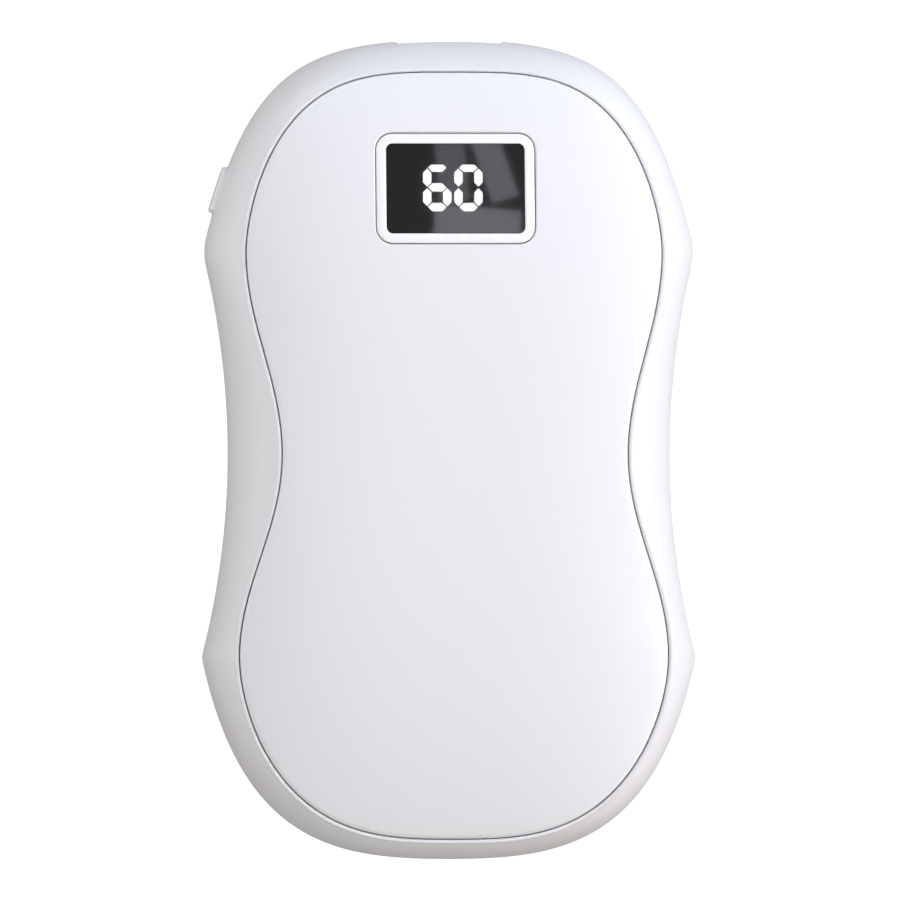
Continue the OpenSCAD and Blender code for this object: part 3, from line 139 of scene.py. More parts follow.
def cubic(a, b, c, d, t):
    return (1 - t) ** 3 * a + 3 * (1 - t) ** 2 * t * b + 3 * (1 - t) * t ** 2 * c + t ** 3 * d


def outer_end(reach, handles, shoulder, flare, t):
    t += EASE * ((1 - math.cos(math.pi * t)) / 2 - t)
    half, y = shoulder
    near_x, near_y = half - handles[1] * math.tan(flare), y + handles[1]
    return cubic(0, handles[0], near_x, half, t), cubic(reach, reach, near_y, y, t)


def panel_end(reach, half, y, powers, t):
    s = math.sin(math.pi / 2 * t)
    return half * s, y + (reach - y) * max(0.0, 1 - s ** powers[0]) ** (1 / powers[1])


def outlines():
    """Outer line and cover line as two lists of matching points."""
    caps = [i / CAP_STEPS for i in range(CAP_STEPS + 1)]
    waist = [1 - 2 * j / WAIST_STEPS for j in range(1, WAIST_STEPS)]
    middle = (TOP_SHOULDER[1] - BOTTOM_SHOULDER[1]) / 2
    half = (TOP_SHOULDER[1] + BOTTOM_SHOULDER[1]) / 2
    rise = (TOP_SHOULDER[0] + BOTTOM_SHOULDER[0]) / 2 - WAIST_HALF
    radius = (half ** 2 + rise ** 2) / (2 * rise)
    outer = [outer_end(TOP_REACH, TOP_HANDLES, TOP_SHOULDER, TOP_FLARE, t) for t in caps]
    panel_top = (TOP_SHOULDER[0] - RIM_TOP_SHOULDER, TOP_SHOULDER[1])
    panel_bottom = (BOTTOM_SHOULDER[0] - RIM_BOTTOM_SHOULDER, BOTTOM_SHOULDER[1])
    panel = [panel_end(PANEL_TOP, *panel_top, TOP_POWERS, t) for t in caps]
    for u in waist:
        y = middle + u * half
        arc = (radius - math.sqrt(radius ** 2 - (u * half) ** 2)) / rise
        wave = (1 - math.cos(math.pi * u)) / 2
        wide = TOP_SHOULDER[0] if u > 0 else BOTTOM_SHOULDER[0]
        wide_panel = panel_top[0] if u > 0 else panel_bottom[0]
        narrow_panel = WAIST_HALF - RIM_WAIST
        outer.append((WAIST_HALF + (wide - WAIST_HALF) * arc, y))
        panel.append((narrow_panel + (wide_panel - narrow_panel) * wave, y))
    for t in reversed(caps):
        x, y = outer_end(BOTTOM_REACH, BOTTOM_HANDLES, BOTTOM_SHOULDER, BOTTOM_FLARE, t)
        outer.append((x, -y))
        x, y = panel_end(PANEL_BOTTOM, *panel_bottom, BOTTOM_POWERS, t)
        panel.append((x, -y))
    return tuple([Vector(p) for p in line + [(-x, y) for x, y in line[-2:0:-1]]] for line in (outer, panel))


def softened(line, corners):
    """Rounds the corners of a closed line: each corner is (index, reach of the rounding).

    A point near a corner moves to the mean of the line on both sides of it. The stretch that is averaged
    gets shorter from two reaches away and ends at three.
    """
    n = len(line)
    eighth = n // 8
    soft = [p.copy() for p in line]
    for corner, reach in corners:
        for i in range(corner - eighth, corner + eighth):
            away = (line[i % n] - line[corner]).length
            width = reach * min(1.0, max(0.0, 3 - away / reach))
            if width > LEAST_SOFT:
                samples = [walked(line, i % n, width * k / SOFT_SAMPLES)
                           for k in range(-SOFT_SAMPLES, SOFT_SAMPLES + 1)]
                soft[i % n] = sum(samples, Vector((0, 0))) / len(samples)
    return soft


def walked(line, i, distance):
    """Point at a distance along a closed line from its point i."""
    step = 1 if distance > 0 else -1
    left = abs(distance)
    while True:
        a, b = line[i % len(line)], line[(i + step) % len(line)]
        length = (b - a).length
        if length >= left:
            return a.lerp(b, left / length)
        left -= length
        i += step


def inset(line, by):
    """Closed line moved inwards by a distance, or outwards by a negative one."""
    moved = []
    for i, p in enumerate(line):
        d = (line[(i + 1) % len(line)] - line[i - 1]).normalized()
        moved.append(p + by * Vector((d.y, -d.x)))
    return moved


def divided(points, step):
    """Closed line with points added so that none is further than step from the next."""
    line = []
    for a, b in zip(points, points[1:] + points[:1]):
        count = max(1, math.ceil((b - a).length / step))
        line += [a.lerp(b, k / count) for k in range(count)]
    return line


OUTER, PANEL = outlines()
RIGHT = CAP_STEPS * 2 + WAIST_STEPS
SHOULDERS = ((CAP_STEPS, TOP_SOFT), (2 * RIGHT - CAP_STEPS, TOP_SOFT),
             (CAP_STEPS + WAIST_STEPS, BOTTOM_SOFT), (2 * RIGHT - CAP_STEPS - WAIST_STEPS, BOTTOM_SOFT))
OUTER = softened(OUTER, SHOULDERS)
PANEL_ANGLES = [math.atan2(p.x, p.y) % math.tau for p in PANEL]


# Faces of the covers: side is 1 at the front and -1 at the rear

def panel_towards(x, y):
    """Point of the cover line in the direction of a place."""
    angle = math.atan2(x, y) % math.tau
    i = bisect.bisect_right(PANEL_ANGLES, angle) - 1
    j = (i + 1) % len(PANEL)
    span = (PANEL_ANGLES[j] - PANEL_ANGLES[i]) % math.tau
    return PANEL[i].lerp(PANEL[j], (angle - PANEL_ANGLES[i]) / span)


def waist_share(edge):
    """Width of the cover at a place on its edge, as a share of a cover's without a waist."""
    t = (edge.y + BOTTOM_SHOULDER[1]) / (TOP_SHOULDER[1] + BOTTOM_SHOULDER[1])
    if t <= 0 or t >= 1:
        return 1.0
    top, bottom = TOP_SHOULDER[0] - RIM_TOP_SHOULDER, BOTTOM_SHOULDER[0] - RIM_BOTTOM_SHOULDER
    return abs(edge.x) / (bottom + t * (top - bottom))


def face_z(side, x, y):
    """Height of a cover's domed face at a place."""
    edge = panel_towards(x, y)
    # The domes don't follow the waist, so the distance out is taken as on a cover without one
    r = math.hypot(x, y) / edge.length * waist_share(edge)
    fall = END_DROP * (edge.y / (PANEL_TOP if edge.y > 0 else PANEL_BOTTOM)) ** 2
    if side > 0:
        return BODY_T - (FRONT_DOME + fall) * r ** DOME_POWER
    return (REAR_DOME + fall) * (max(0.0, r - FLAT_SHARE) / (1 - FLAT_SHARE)) ** 2


def seat_z(side):
    """Height of the ledge that a cover seats on."""
    return BODY_T - FRONT_DOME - END_DROP - SEAT_DEPTH if side > 0 else REAR_DOME + END_DROP + SEAT_DEPTH


def level(line, z):
    """Ring of a line's points at one height."""
    return [(p.x, p.y, z) for p in line]


def on_face(side, line, depth=0.0):
    """Ring of a line's points on a cover's face, or at a depth below it."""
    return [(p.x, p.y, face_z(side, p.x, p.y) - side * depth) for p in line]


# Building blocks

def loft(bm, rings, capped=True):
    """Extrudes a closed loop from ring to ring.

    It is capped at both ends, or else its last ring lies on its first.
    """
    verts = [bm.verts.new(p) for p in rings[0]]
    edges = [bm.edges.new((verts[i - 1], verts[i])) for i in range(len(verts))]
    if capped:
        bmesh.ops.contextual_create(bm, geom=edges)
    for ring in rings[1:]:
        index = {v: i for i, v in enumerate(verts)}
        made = bmesh.ops.extrude_edge_only(bm, edges=edges)["geom"]
        fresh = [v for v in made if isinstance(v, bmesh.types.BMVert)]
        order = {}
        for v in fresh:
            order[next(index[e.other_vert(v)] for e in v.link_edges if e.other_vert(v) in index)] = v
        verts = [order[i] for i in range(len(order))]
        for v, p in zip(verts, ring):
            v.co = p
        edges = [e for e in made if isinstance(e, bmesh.types.BMEdge)]
    if capped:
        bmesh.ops.contextual_create(bm, geom=edges)
    else:
        bmesh.ops.remove_doubles(bm, verts=bm.verts, dist=SAME_PLACE)


def turned(bm, profile, place):
    """Spins a closed profile of (radius, height) round an upright axis."""
    x, y = place
    verts = [bm.verts.new((x + r, y, z)) for r, z in profile]
    edges = [bm.edges.new((verts[i - 1], verts[i])) for i in range(len(verts))]
    bmesh.ops.spin(bm, geom=verts + edges, cent=(x, y, 0), axis=(0, 0, 1), angle=math.tau,
                   steps=TURN_STEPS, use_merge=True)


def rounded_rect(w, l, r):
    """Points of a rounded rectangle about the middle, clockwise."""
    points = []
    for quarter, (sx, sy) in enumerate(((1, 1), (1, -1), (-1, -1), (-1, 1))):
        for k in range(CORNER_STEPS + 1):
            a = math.pi / 2 * (1 - quarter - k / CORNER_STEPS)
            points.append(Vector((sx * (w / 2 - r) + r * math.cos(a), sy * (l / 2 - r) + r * math.sin(a))))
    return points


def fillet(radius, steps=EDGE_STEPS):
    """(Inset, drop) of the points of a rounded edge, from the wall up to the face."""
    turns = [math.pi / 2 * k / steps for k in range(steps + 1)]
    return [(radius * (1 - math.cos(a)), radius * (1 - math.sin(a))) for a in turns]


def finished(name, bm, material, body="case", replaces=None):
    """Makes an object in metres. One that replaces a node rides on its body, and the node is hidden."""
    bmesh.ops.recalc_face_normals(bm, faces=bm.faces)
    bmesh.ops.scale(bm, vec=(MM, MM, MM), verts=bm.verts)
    mesh = bpy.data.meshes.new(name)
    bm.to_mesh(mesh)
    bm.free()
    piece = bpy.data.objects.new(name, mesh)
    bpy.context.scene.collection.objects.link(piece)
    mesh.materials.append(material)
    shade(mesh)
    if replaces:
        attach(piece, body)
        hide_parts(replaces)
    return piece


def shade(mesh):
    """Smooth shading that keeps the sharp edges."""
    mesh.shade_smooth()
    mesh.set_sharp_from_angle(angle=SHARP_ANGLE)


def cut_away(piece, cutters):
    """Takes the cutters out of a piece and deletes them."""
    for cutter in cutters:
        cut = piece.modifiers.new("cut", "BOOLEAN")
        cut.operation = "DIFFERENCE"
        cut.solver = "EXACT"
        cut.object = cutter
    whole = piece.data
    seen = piece.evaluated_get(bpy.context.evaluated_depsgraph_get())
    piece.data = bpy.data.meshes.new_from_object(seen)
    piece.data.name = piece.name
    piece.modifiers.clear()
    bpy.data.meshes.remove(whole)
    for cutter in cutters:
        bpy.data.meshes.remove(cutter.data)
    shade(piece.data)


# Node groups for effects that several finishes share

# Noise detail, patches of gloss as multiples of the grain, and the sideways jogs of tracks in pitches
FINE_DETAIL, PATCH_DETAIL, PATCH_PER_GRAIN = 2.0, 3.0, 30.0
JOG_STRETCH, JOG_LEVELS, JOG_SHARE = 12.0, 6.0, 0.37

# Places of a mix node's two colours among its inputs, and of the mixed one among its outputs
MIX_FIRST, MIX_SECOND, MIXED = 6, 7, 2


def group(name, inputs, outputs):
    """Empty node group with float, colour or vector sockets; returns it with its two end nodes."""
    tree = bpy.data.node_groups.new(name, "ShaderNodeTree")
    kinds = {"f": "NodeSocketFloat", "c": "NodeSocketColor", "v": "NodeSocketVector"}
    for label, kind in inputs:
        tree.interface.new_socket(label, in_out="INPUT", socket_type=kinds[kind])
    for label, kind in outputs:
        tree.interface.new_socket(label, in_out="OUTPUT", socket_type=kinds[kind])
    return tree, tree.nodes.new("NodeGroupInput"), tree.nodes.new("NodeGroupOutput")


def maths(tree, operation, a, b=None):
    """Adds a maths node whose inputs are sockets or numbers, and returns its output."""
    node = tree.nodes.new("ShaderNodeMath")
    node.operation = operation
    for socket, value in zip(node.inputs, (a, b)):
        if isinstance(value, bpy.types.NodeSocket):
            tree.links.new(value, socket)
        elif value is not None:
            socket.default_value = value
    return node.outputs[0]


def noise(tree, vector, size, detail):
    """Noise whose spots are about as large as size, in metres."""
    node = tree.nodes.new("ShaderNodeTexNoise")
    node.inputs["Detail"].default_value = detail
    tree.links.new(vector, node.inputs["Vector"])
    tree.links.new(maths(tree, "DIVIDE", 1.0, size), node.inputs["Scale"])
    return node.outputs["Fac"]


def tone_drift():
    """Colour that is a little lighter and darker from place to place."""
    tree, start, end = group("tone drift",
                             [("Place", "v"), ("Colour", "c"), ("Size", "f"), ("Amount", "f")],
                             [("Colour", "c")])
    spots = noise(tree, start.outputs["Place"], start.outputs["Size"], FINE_DETAIL)
    swing = maths(tree, "MULTIPLY", maths(tree, "SUBTRACT", spots, 0.5), start.outputs["Amount"])
    scale = tree.nodes.new("ShaderNodeVectorMath")
    scale.operation = "SCALE"
    tree.links.new(start.outputs["Colour"], scale.inputs[0])
    tree.links.new(maths(tree, "ADD", swing, 1.0), scale.inputs["Scale"])
    tree.links.new(scale.outputs[0], end.inputs["Colour"])
    return tree


def surface_grain():
    """Fine relief of a surface, and a roughness that drifts with it."""
    tree, start, end = group("surface grain",
                             [("Place", "v"), ("Size", "f"), ("Roughness", "f"), ("Spread", "f")],
                             [("Height", "f"), ("Roughness", "f")])
    fine = noise(tree, start.outputs["Place"], start.outputs["Size"], FINE_DETAIL)
    patch_size = maths(tree, "MULTIPLY", start.outputs["Size"], PATCH_PER_GRAIN)
    broad = noise(tree, start.outputs["Place"], patch_size, PATCH_DETAIL)
    swing = maths(tree, "MULTIPLY", maths(tree, "SUBTRACT", broad, 0.5), start.outputs["Spread"])
    tree.links.new(fine, end.inputs["Height"])
    tree.links.new(maths(tree, "ADD", start.outputs["Roughness"], swing), end.inputs["Roughness"])
    return tree


def fine_tracks():
    """Mask of narrow parallel tracks, as on a heater film or a circuit board."""
    tree, start, end = group("fine tracks", [("Place", "v"), ("Pitch", "f"), ("Share", "f")],
                             [("Mask", "f")])
    split = tree.nodes.new("ShaderNodeSeparateXYZ")
    tree.links.new(start.outputs["Place"], split.inputs[0])
    stretch = maths(tree, "MULTIPLY", start.outputs["Pitch"], JOG_STRETCH)
    wander = noise(tree, start.outputs["Place"], stretch, 0.0)
    bend = maths(tree, "SNAP", maths(tree, "MULTIPLY", wander, JOG_LEVELS), 1.0)
    place = maths(tree, "ADD", maths(tree, "DIVIDE", split.outputs["X"], start.outputs["Pitch"]),
                  maths(tree, "MULTIPLY", bend, JOG_SHARE))
    beat = maths(tree, "FRACT", place)
    tree.links.new(maths(tree, "LESS_THAN", beat, start.outputs["Share"]), end.inputs["Mask"])
    return tree


def foam_cells():
    """Relief of small open cells."""
    tree, start, end = group("foam cells", [("Place", "v"), ("Size", "f")], [("Height", "f")])
    cells = tree.nodes.new("ShaderNodeTexVoronoi")
    tree.links.new(start.outputs["Place"], cells.inputs["Vector"])
    tree.links.new(maths(tree, "DIVIDE", 1.0, start.outputs["Size"]), cells.inputs["Scale"])
    tree.links.new(cells.outputs["Distance"], end.inputs["Height"])
    return tree


TONE, GRAIN, TRACKS, CELLS = tone_drift(), surface_grain(), fine_tracks(), foam_cells()


def placed(tree, shared, values, coordinate):
    """Puts a shared group into a material with its own values."""
    node = tree.nodes.new("ShaderNodeGroup")
    node.node_tree = shared
    tree.links.new(coordinate, node.inputs["Place"])
    for label, value in values.items():
        if isinstance(value, bpy.types.NodeSocket):
            tree.links.new(value, node.inputs[label])
        else:
            node.inputs[label].default_value = value
    return node


def finish(name, colour, roughness, tone=(9.0, 0.04), grain=(0.12, 0.004), spread=0.08, stretch=None,
           tracks=None, cells=None, **sockets):
    """Material with drifting tone, fine relief and uneven gloss. Sizes are in millimetres.

    tone is (size, amount), grain and cells are (size, depth), and tracks is (pitch, share, colour). Other
    arguments are inputs of the shader, with _ for a space.
    """
    material = bpy.data.materials.new(name)
    material.use_nodes = True
    tree = material.node_tree
    shader = tree.nodes["Principled BSDF"]
    where = tree.nodes.new("ShaderNodeTexCoord").outputs["Object"]
    if stretch:
        mapping = tree.nodes.new("ShaderNodeMapping")
        mapping.inputs["Scale"].default_value = stretch
        tree.links.new(where, mapping.inputs["Vector"])
        where = mapping.outputs["Vector"]
    base = (*colour, 1.0)
    if tracks:
        pitch, share, other = tracks
        mask = placed(tree, TRACKS, {"Pitch": pitch * MM, "Share": share}, where).outputs["Mask"]
        mix = tree.nodes.new("ShaderNodeMix")
        mix.data_type = "RGBA"
        tree.links.new(mask, mix.inputs["Factor"])
        mix.inputs[MIX_FIRST].default_value = base
        mix.inputs[MIX_SECOND].default_value = (*other, 1.0)
        base = mix.outputs[MIXED]
    drift = placed(tree, TONE, {"Colour": base, "Size": tone[0] * MM, "Amount": tone[1]}, where)
    tree.links.new(drift.outputs["Colour"], shader.inputs["Base Color"])
    relief = placed(tree, GRAIN, {"Size": grain[0] * MM, "Roughness": roughness, "Spread": spread}, where)
    tree.links.new(relief.outputs["Roughness"], shader.inputs["Roughness"])
    height, depth = relief.outputs["Height"], grain[1]
    if cells:
        height, depth = placed(tree, CELLS, {"Size": cells[0] * MM}, where).outputs["Height"], cells[1]
    bump = tree.nodes.new("ShaderNodeBump")
    bump.inputs["Distance"].default_value = depth * MM
    tree.links.new(height, bump.inputs["Height"])
    tree.links.new(bump.outputs["Normal"], shader.inputs["Normal"])
    for label, value in sockets.items():
        shader.inputs[label.replace("_", " ")].default_value = value
    return material


WHITE_SHELL = finish("satin white shell", (0.745, 0.745, 0.752), 0.42, tone=(22, 0.012),
                     grain=(0.11, 0.003))
WHITE_COVER = finish("satin white cover", (0.765, 0.76, 0.772), 0.42, tone=(26, 0.012),
                     grain=(0.11, 0.003))
WHITE_BEZEL = finish("glossy white bezel", (0.84, 0.83, 0.835), 0.22, tone=(12, 0.01), grain=(0.2, 0.001),
                     Coat_Weight=0.3, Coat_Roughness=0.08)
WHITE_BUTTON = finish("satin white button", (0.745, 0.745, 0.752), 0.38, tone=(8, 0.015),
                      grain=(0.1, 0.003))
LENS = finish("smoked clear lens", (0.055, 0.055, 0.058), 0.05, tone=(20, 0.02), grain=(8.0, 0.0),
              spread=0.01, Transmission_Weight=1.0, IOR=1.46)
BLACK_FOAM = finish("black foam", (0.012, 0.012, 0.012), 0.9, cells=(0.35, 0.05))
BLACK_PLASTIC = finish("black moulding", (0.014, 0.014, 0.016), 0.6, grain=(0.08, 0.006))
LIT_BAR = finish("lit bar", (0.95, 0.96, 1.0), 0.5, tone=(2, 0.02), Emission_Color=(1.0, 1.0, 1.0, 1.0),
                 Emission_Strength=19.0)
UNLIT_BAR = finish("unlit bar", (0.02, 0.02, 0.022), 0.45)
TINNED = finish("bright tinned metal", (0.72, 0.72, 0.7), 0.28, grain=(0.15, 0.002), Metallic=1.0)
IVORY = finish("ivory nylon", (0.76, 0.71, 0.58), 0.5, tone=(3, 0.06))
PORT_STEEL = finish("bright nickel", (0.66, 0.65, 0.63), 0.24, grain=(0.1, 0.0015), stretch=(1, 0.12, 1),
                    Metallic=1.0)
GOLD = finish("gold flash", (0.83, 0.6, 0.24), 0.25, Metallic=1.0)
BOARD = finish("green solder mask", (0.012, 0.105, 0.05), 0.32, tracks=(0.9, 0.34, (0.022, 0.17, 0.075)),
               Coat_Weight=0.4, Coat_Roughness=0.15)
SCREW = finish("zinc-plated steel", (0.56, 0.56, 0.58), 0.34, grain=(0.08, 0.003), Metallic=1.0)
FERRITE = finish("matt ferrite", (0.06, 0.06, 0.066), 0.75, grain=(0.12, 0.012))
TAN_CERAMIC = finish("tan ceramic", (0.42, 0.27, 0.14), 0.55, tone=(0.8, 0.14))
DARK_CERAMIC = finish("dark ceramic", (0.02, 0.02, 0.022), 0.45, tone=(0.7, 0.2))
GREY_PLASTIC = finish("grey moulding", (0.5, 0.51, 0.53), 0.55, grain=(0.14, 0.005))
POUCH = finish("laminate foil", (0.62, 0.64, 0.68), 0.3, tone=(6, 0.08), grain=(1.6, 0.03), spread=0.16,
               Metallic=0.85)
PALE_FOAM = finish("pale open foam", (0.78, 0.74, 0.58), 0.9, tone=(5, 0.08), cells=(0.7, 0.12))
WHITE_CERAMIC = finish("white ceramic", (0.78, 0.75, 0.7), 0.5, tone=(1.2, 0.06))
RED_SLEEVE = finish("red silicone", (0.42, 0.012, 0.01), 0.5, tone=(2, 0.08))
BLACK_SLEEVE = finish("black silicone", (0.012, 0.012, 0.013), 0.5, tone=(2, 0.1))
WHITE_SLEEVE = finish("white silicone", (0.76, 0.76, 0.73), 0.5, tone=(2, 0.05))
SPREADER = finish("rolled aluminium", (0.76, 0.77, 0.79), 0.32, grain=(0.1, 0.003), stretch=(1, 0.06, 1),
                  Metallic=1.0)
FILM = finish("amber film", (0.46, 0.17, 0.02), 0.25, tracks=(2.6, 0.62, (0.62, 0.3, 0.08)),
              Coat_Weight=0.5)

CAD_FINISHES = {
    BLACK_FOAM: ("display_gasket",),
    BLACK_PLASTIC: ("display_module", "switch_body", "charging_port_tongue", "microcontroller",
                    "charging_chip", "power_transistors", "front_temperature_sensor",
                    "rear_temperature_sensor"),
    LIT_BAR: ("lit_segments",),
    UNLIT_BAR: ("dark_segments",),
    TINNED: ("display_pins", "switch_cover", "battery_tabs"),
    IVORY: ("switch_plunger", "lead_sockets", "lead_plugs"),
    GOLD: ("charging_port_contacts",),
    BOARD: ("main_board", "protection_board"),
    SCREW: ("board_screws", "housing_screws"),
    FERRITE: ("power_inductor",),
    TAN_CERAMIC: ("capacitors",),
    DARK_CERAMIC: ("resistors",),
    GREY_PLASTIC: ("inner_tray",),
    POUCH: ("battery_cell",),
    PALE_FOAM: ("battery_adhesive_pad", "front_insulation_pad", "rear_insulation_pad"),
    WHITE_CERAMIC: ("thermal_fuse",),
    RED_SLEEVE: ("battery_lead_red", "front_heater_leads", "rear_heater_leads"),
    BLACK_SLEEVE: ("battery_lead_black",),
    WHITE_SLEEVE: ("front_sensor_leads", "rear_sensor_leads"),
    SPREADER: ("front_heat_spreader", "rear_heat_spreader"),
    FILM: ("front_heater_film", "rear_heater_film"),
}
for material, names in CAD_FINISHES.items():
    for name in names:
        for slot in nodes[name].material_slots:
            slot.material = material


# Covers

def cover(side, name, node):
    """Domed cover with its skirt, from the middle of its back round the skirt to the middle of its face."""
    line = inset(PANEL, GROOVE_W)
    skirt = inset(line, SKIRT_T)
    foot = seat_z(side) + side * SEAT_GAP
    back = [on_face(side, [p * share for p in skirt], COVER_T) for share in BACK_SHARES]
    rings = back + [level(skirt, foot), level(line, foot)]
    rings += [on_face(side, inset(line, move), drop)
              for move, drop in fillet(COVER_EDGE_R, FINE_EDGE_STEPS)]
    last = inset(line, COVER_EDGE_R)
    rings += [on_face(side, [p * (1 - k / FACE_RINGS) for p in last]) for k in range(1, FACE_RINGS)]
    bm = bmesh.new()
    loft(bm, rings)
    return finished(name, bm, WHITE_COVER, replaces=node)


def bezel_ring(grow, drop):
    """Rounded rectangle round the display, on the cover's face or below it."""
    w, l, r = BEZEL
    corner = max(LEAST_CORNER_R, r + grow)
    points = [p + Vector((0, DISPLAY_Y)) for p in rounded_rect(w + 2 * grow, l + 2 * grow, corner)]
    return on_face(1, points, drop)


def display_cutter():
    """Hole for the bezel, with a rounded edge at the cover's face."""
    rings = [bezel_ring(TRIM_FIT, TRIM_HOLE_DEPTH), bezel_ring(TRIM_FIT, EDGE_R)]
    rings += [bezel_ring(TRIM_FIT + move, drop) for move, drop in fillet(EDGE_R)[1:]]
    rings.append(bezel_ring(TRIM_FIT + EDGE_R, -OVERRUN))
    bm = bmesh.new()
    loft(bm, rings)
    return finished("display_hole", bm, WHITE_COVER)


front_cover = cover(1, "cover_front", "front_cover")
cover(-1, "cover_rear", "rear_cover")
cut_away(front_cover, [display_cutter()])


# Housing

def rim_ring(side, share, depth):
    """Ring of the rim at a share of the way from the groove to the parting plane, and at a depth in it."""
    a = RIM_LEAN + share * (math.pi / 2 - RIM_LEAN)
    out = (math.sin(a) - math.sin(RIM_LEAN)) / (1 - math.sin(RIM_LEAN))
    up = math.cos(a) / math.cos(RIM_LEAN)
    line = inset([p.lerp(q, out) for p, q in zip(PANEL, OUTER)], depth * math.sin(a))
    base = MID + side * PARTING_GAP / 2
    sink = side * depth * math.cos(a)
    return [(p.x, p.y, base + (z - base) * up - sink) for p, z in zip(line, EDGE_Z[side])]


EDGE_Z = {side: [face_z(side, p.x, p.y) for p in PANEL] for side in (1, -1)}


def rim_edge(side):
    """Rounded edge of the rim along the groove."""
    rings = []
    for move, drop in fillet(RIM_EDGE_R, FINE_EDGE_STEPS):
        line = inset(PANEL, -move)
        sink = side * (drop + move * math.tan(RIM_LEAN))
        rings.append([(p.x, p.y, z - sink) for p, z in zip(line, EDGE_Z[side])])
    return rings


def boss(bm, side, place):
    """Screw boss: blind at the front, with a counterbore for the head at the rear."""
    seat = seat_z(side)
    end = MID + side * (EAR_T / 2 + SEAT_GAP)
    if side > 0:
        stop = seat - BOSS_FLOOR_T
        profile = [(POLE_R, stop), (SCREW_R, stop), (SCREW_R, end), (BOSS_R, end), (BOSS_R, seat),
                   (POLE_R, seat)]
    else:
        step = seat + HEAD_H + HEAD_GAP
        profile = [(COUNTERBORE_R, seat), (COUNTERBORE_R, step), (SCREW_R, step), (SCREW_R, end),
                   (BOSS_R, end), (BOSS_R, seat)]
    turned(bm, profile, place)


def housing(side, name, node):
    """Half of the housing: ledge, groove, rim, parting edge and inner wall as one closed section, then its
    bosses.
    """
    seat = seat_z(side)
    back = seat - side * LEDGE_T
    base = MID + side * PARTING_GAP / 2
    ledge = inset(PANEL, LEDGE_W)
    rings = [level(ledge, seat), level(PANEL, seat)]
    rings += rim_edge(side)
    rings += [rim_ring(side, RIM_FIRST_SHARE + RIM_SPAN_SHARE * k / RIM_RINGS, 0)
              for k in range(RIM_RINGS + 1)]
    rings += [level(inset(OUTER, move), base + side * drop) for move, drop in fillet(PARTING_EDGE_R)[1:]]
    rings += [level(inset(OUTER, WALL), base)]
    rings += [rim_ring(side, share, WALL) for share in INNER_RIM_SHARES]
    rings += [level(inset(PANEL, INNER_STEP), back), level(ledge, back), level(ledge, seat)]
    bm = bmesh.new()
    loft(bm, rings, capped=False)
    piece = finished(name, bm, WHITE_SHELL, replaces=node)
    cut_away(piece, [recess_cutter(), port_cutter(), button_cutter()])
    bm = bmesh.new()
    for place in BOSS_PLACES:
        boss(bm, side, place)
    bosses = finished(name + "_bosses", bm, WHITE_SHELL)
    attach(bosses, "case")


def upright_rings(profile):
    """Rings across Y from (width, height, corner, y) rows, about the port's axis."""
    return [[(p.x, y, MID + p.y) for p in rounded_rect(w, h, r)] for w, h, r, y in profile]


def recess_cutter():
    """Shallow recess with flared sides, whose floor follows the outer line."""
    half, slope = RECESS_W / 2 - RECESS_FLARE, RECESS_FLARE / RECESS_DEPTH
    low = RECESS_Y - RECESS_DEPTH
    bed = [p for p in divided(inset(OUTER, RECESS_DEPTH), RECESS_STEP)
           if p.y > 0 and abs(p.x) < half + (p.y - low) * slope]
    bed.sort(key=lambda p: p.x)
    wide, high = half + RECESS_OVERRUN * RECESS_FLARE, low + RECESS_OVERRUN * RECESS_DEPTH
    line = [Vector((-wide, high))] + bed + [Vector((wide, high))]
    bm = bmesh.new()
    loft(bm, [level(line, MID - RECESS_H / 2), level(line, MID + RECESS_H / 2)])
    return finished("recess_hole", bm, WHITE_SHELL)


def port_cutter():
    """Slot for the receptacle, with a flared lip at the recess's floor."""
    w, h = PORT_W + 2 * PORT_GAP, PORT_H + 2 * PORT_GAP
    wide, high, corner = w + 2 * PORT_LIP, h + 2 * PORT_LIP, h / 2 + PORT_LIP - ROUND_PLAY
    bm = bmesh.new()
    loft(bm, upright_rings([(w, h, h / 2 - ROUND_PLAY, RECESS_Y - PORT_CUT_IN),
                            (w, h, h / 2 - ROUND_PLAY, RECESS_Y - PORT_LIP),
                            (wide, high, corner, RECESS_Y + TOUCH),
                            (wide, high, corner, RECESS_Y + PORT_CUT_OUT)]))
    return finished("port_hole", bm, WHITE_SHELL)


def button_rings(profile):
    """Rings across the button's axis from (width, height, corner, distance out of the rim) rows."""
    along = Vector((-BUTTON_AXIS.y, BUTTON_AXIS.x, 0))
    rings = []
    for w, h, r, out in profile:
        place = BUTTON_PLACE + BUTTON_AXIS * out
        rings.append([place + along * p.x + Vector((0, 0, p.y)) for p in rounded_rect(w, h, r)])
    return rings


def button_cutter():
    """Opening for the button, with a gap all round it."""
    w, h, r = (BUTTON[0] + 2 * BUTTON_GAP, BUTTON[1] + 2 * BUTTON_GAP, BUTTON[2] + BUTTON_GAP)
    bm = bmesh.new()
    loft(bm, button_rings([(w, h, r, out) for out in BUTTON_CUT]))
    return finished("button_hole", bm, WHITE_SHELL)


housing(1, "housing_front", "front_housing")
housing(-1, "housing_rear", "rear_housing")


# Button, with its flange and stem behind the wall

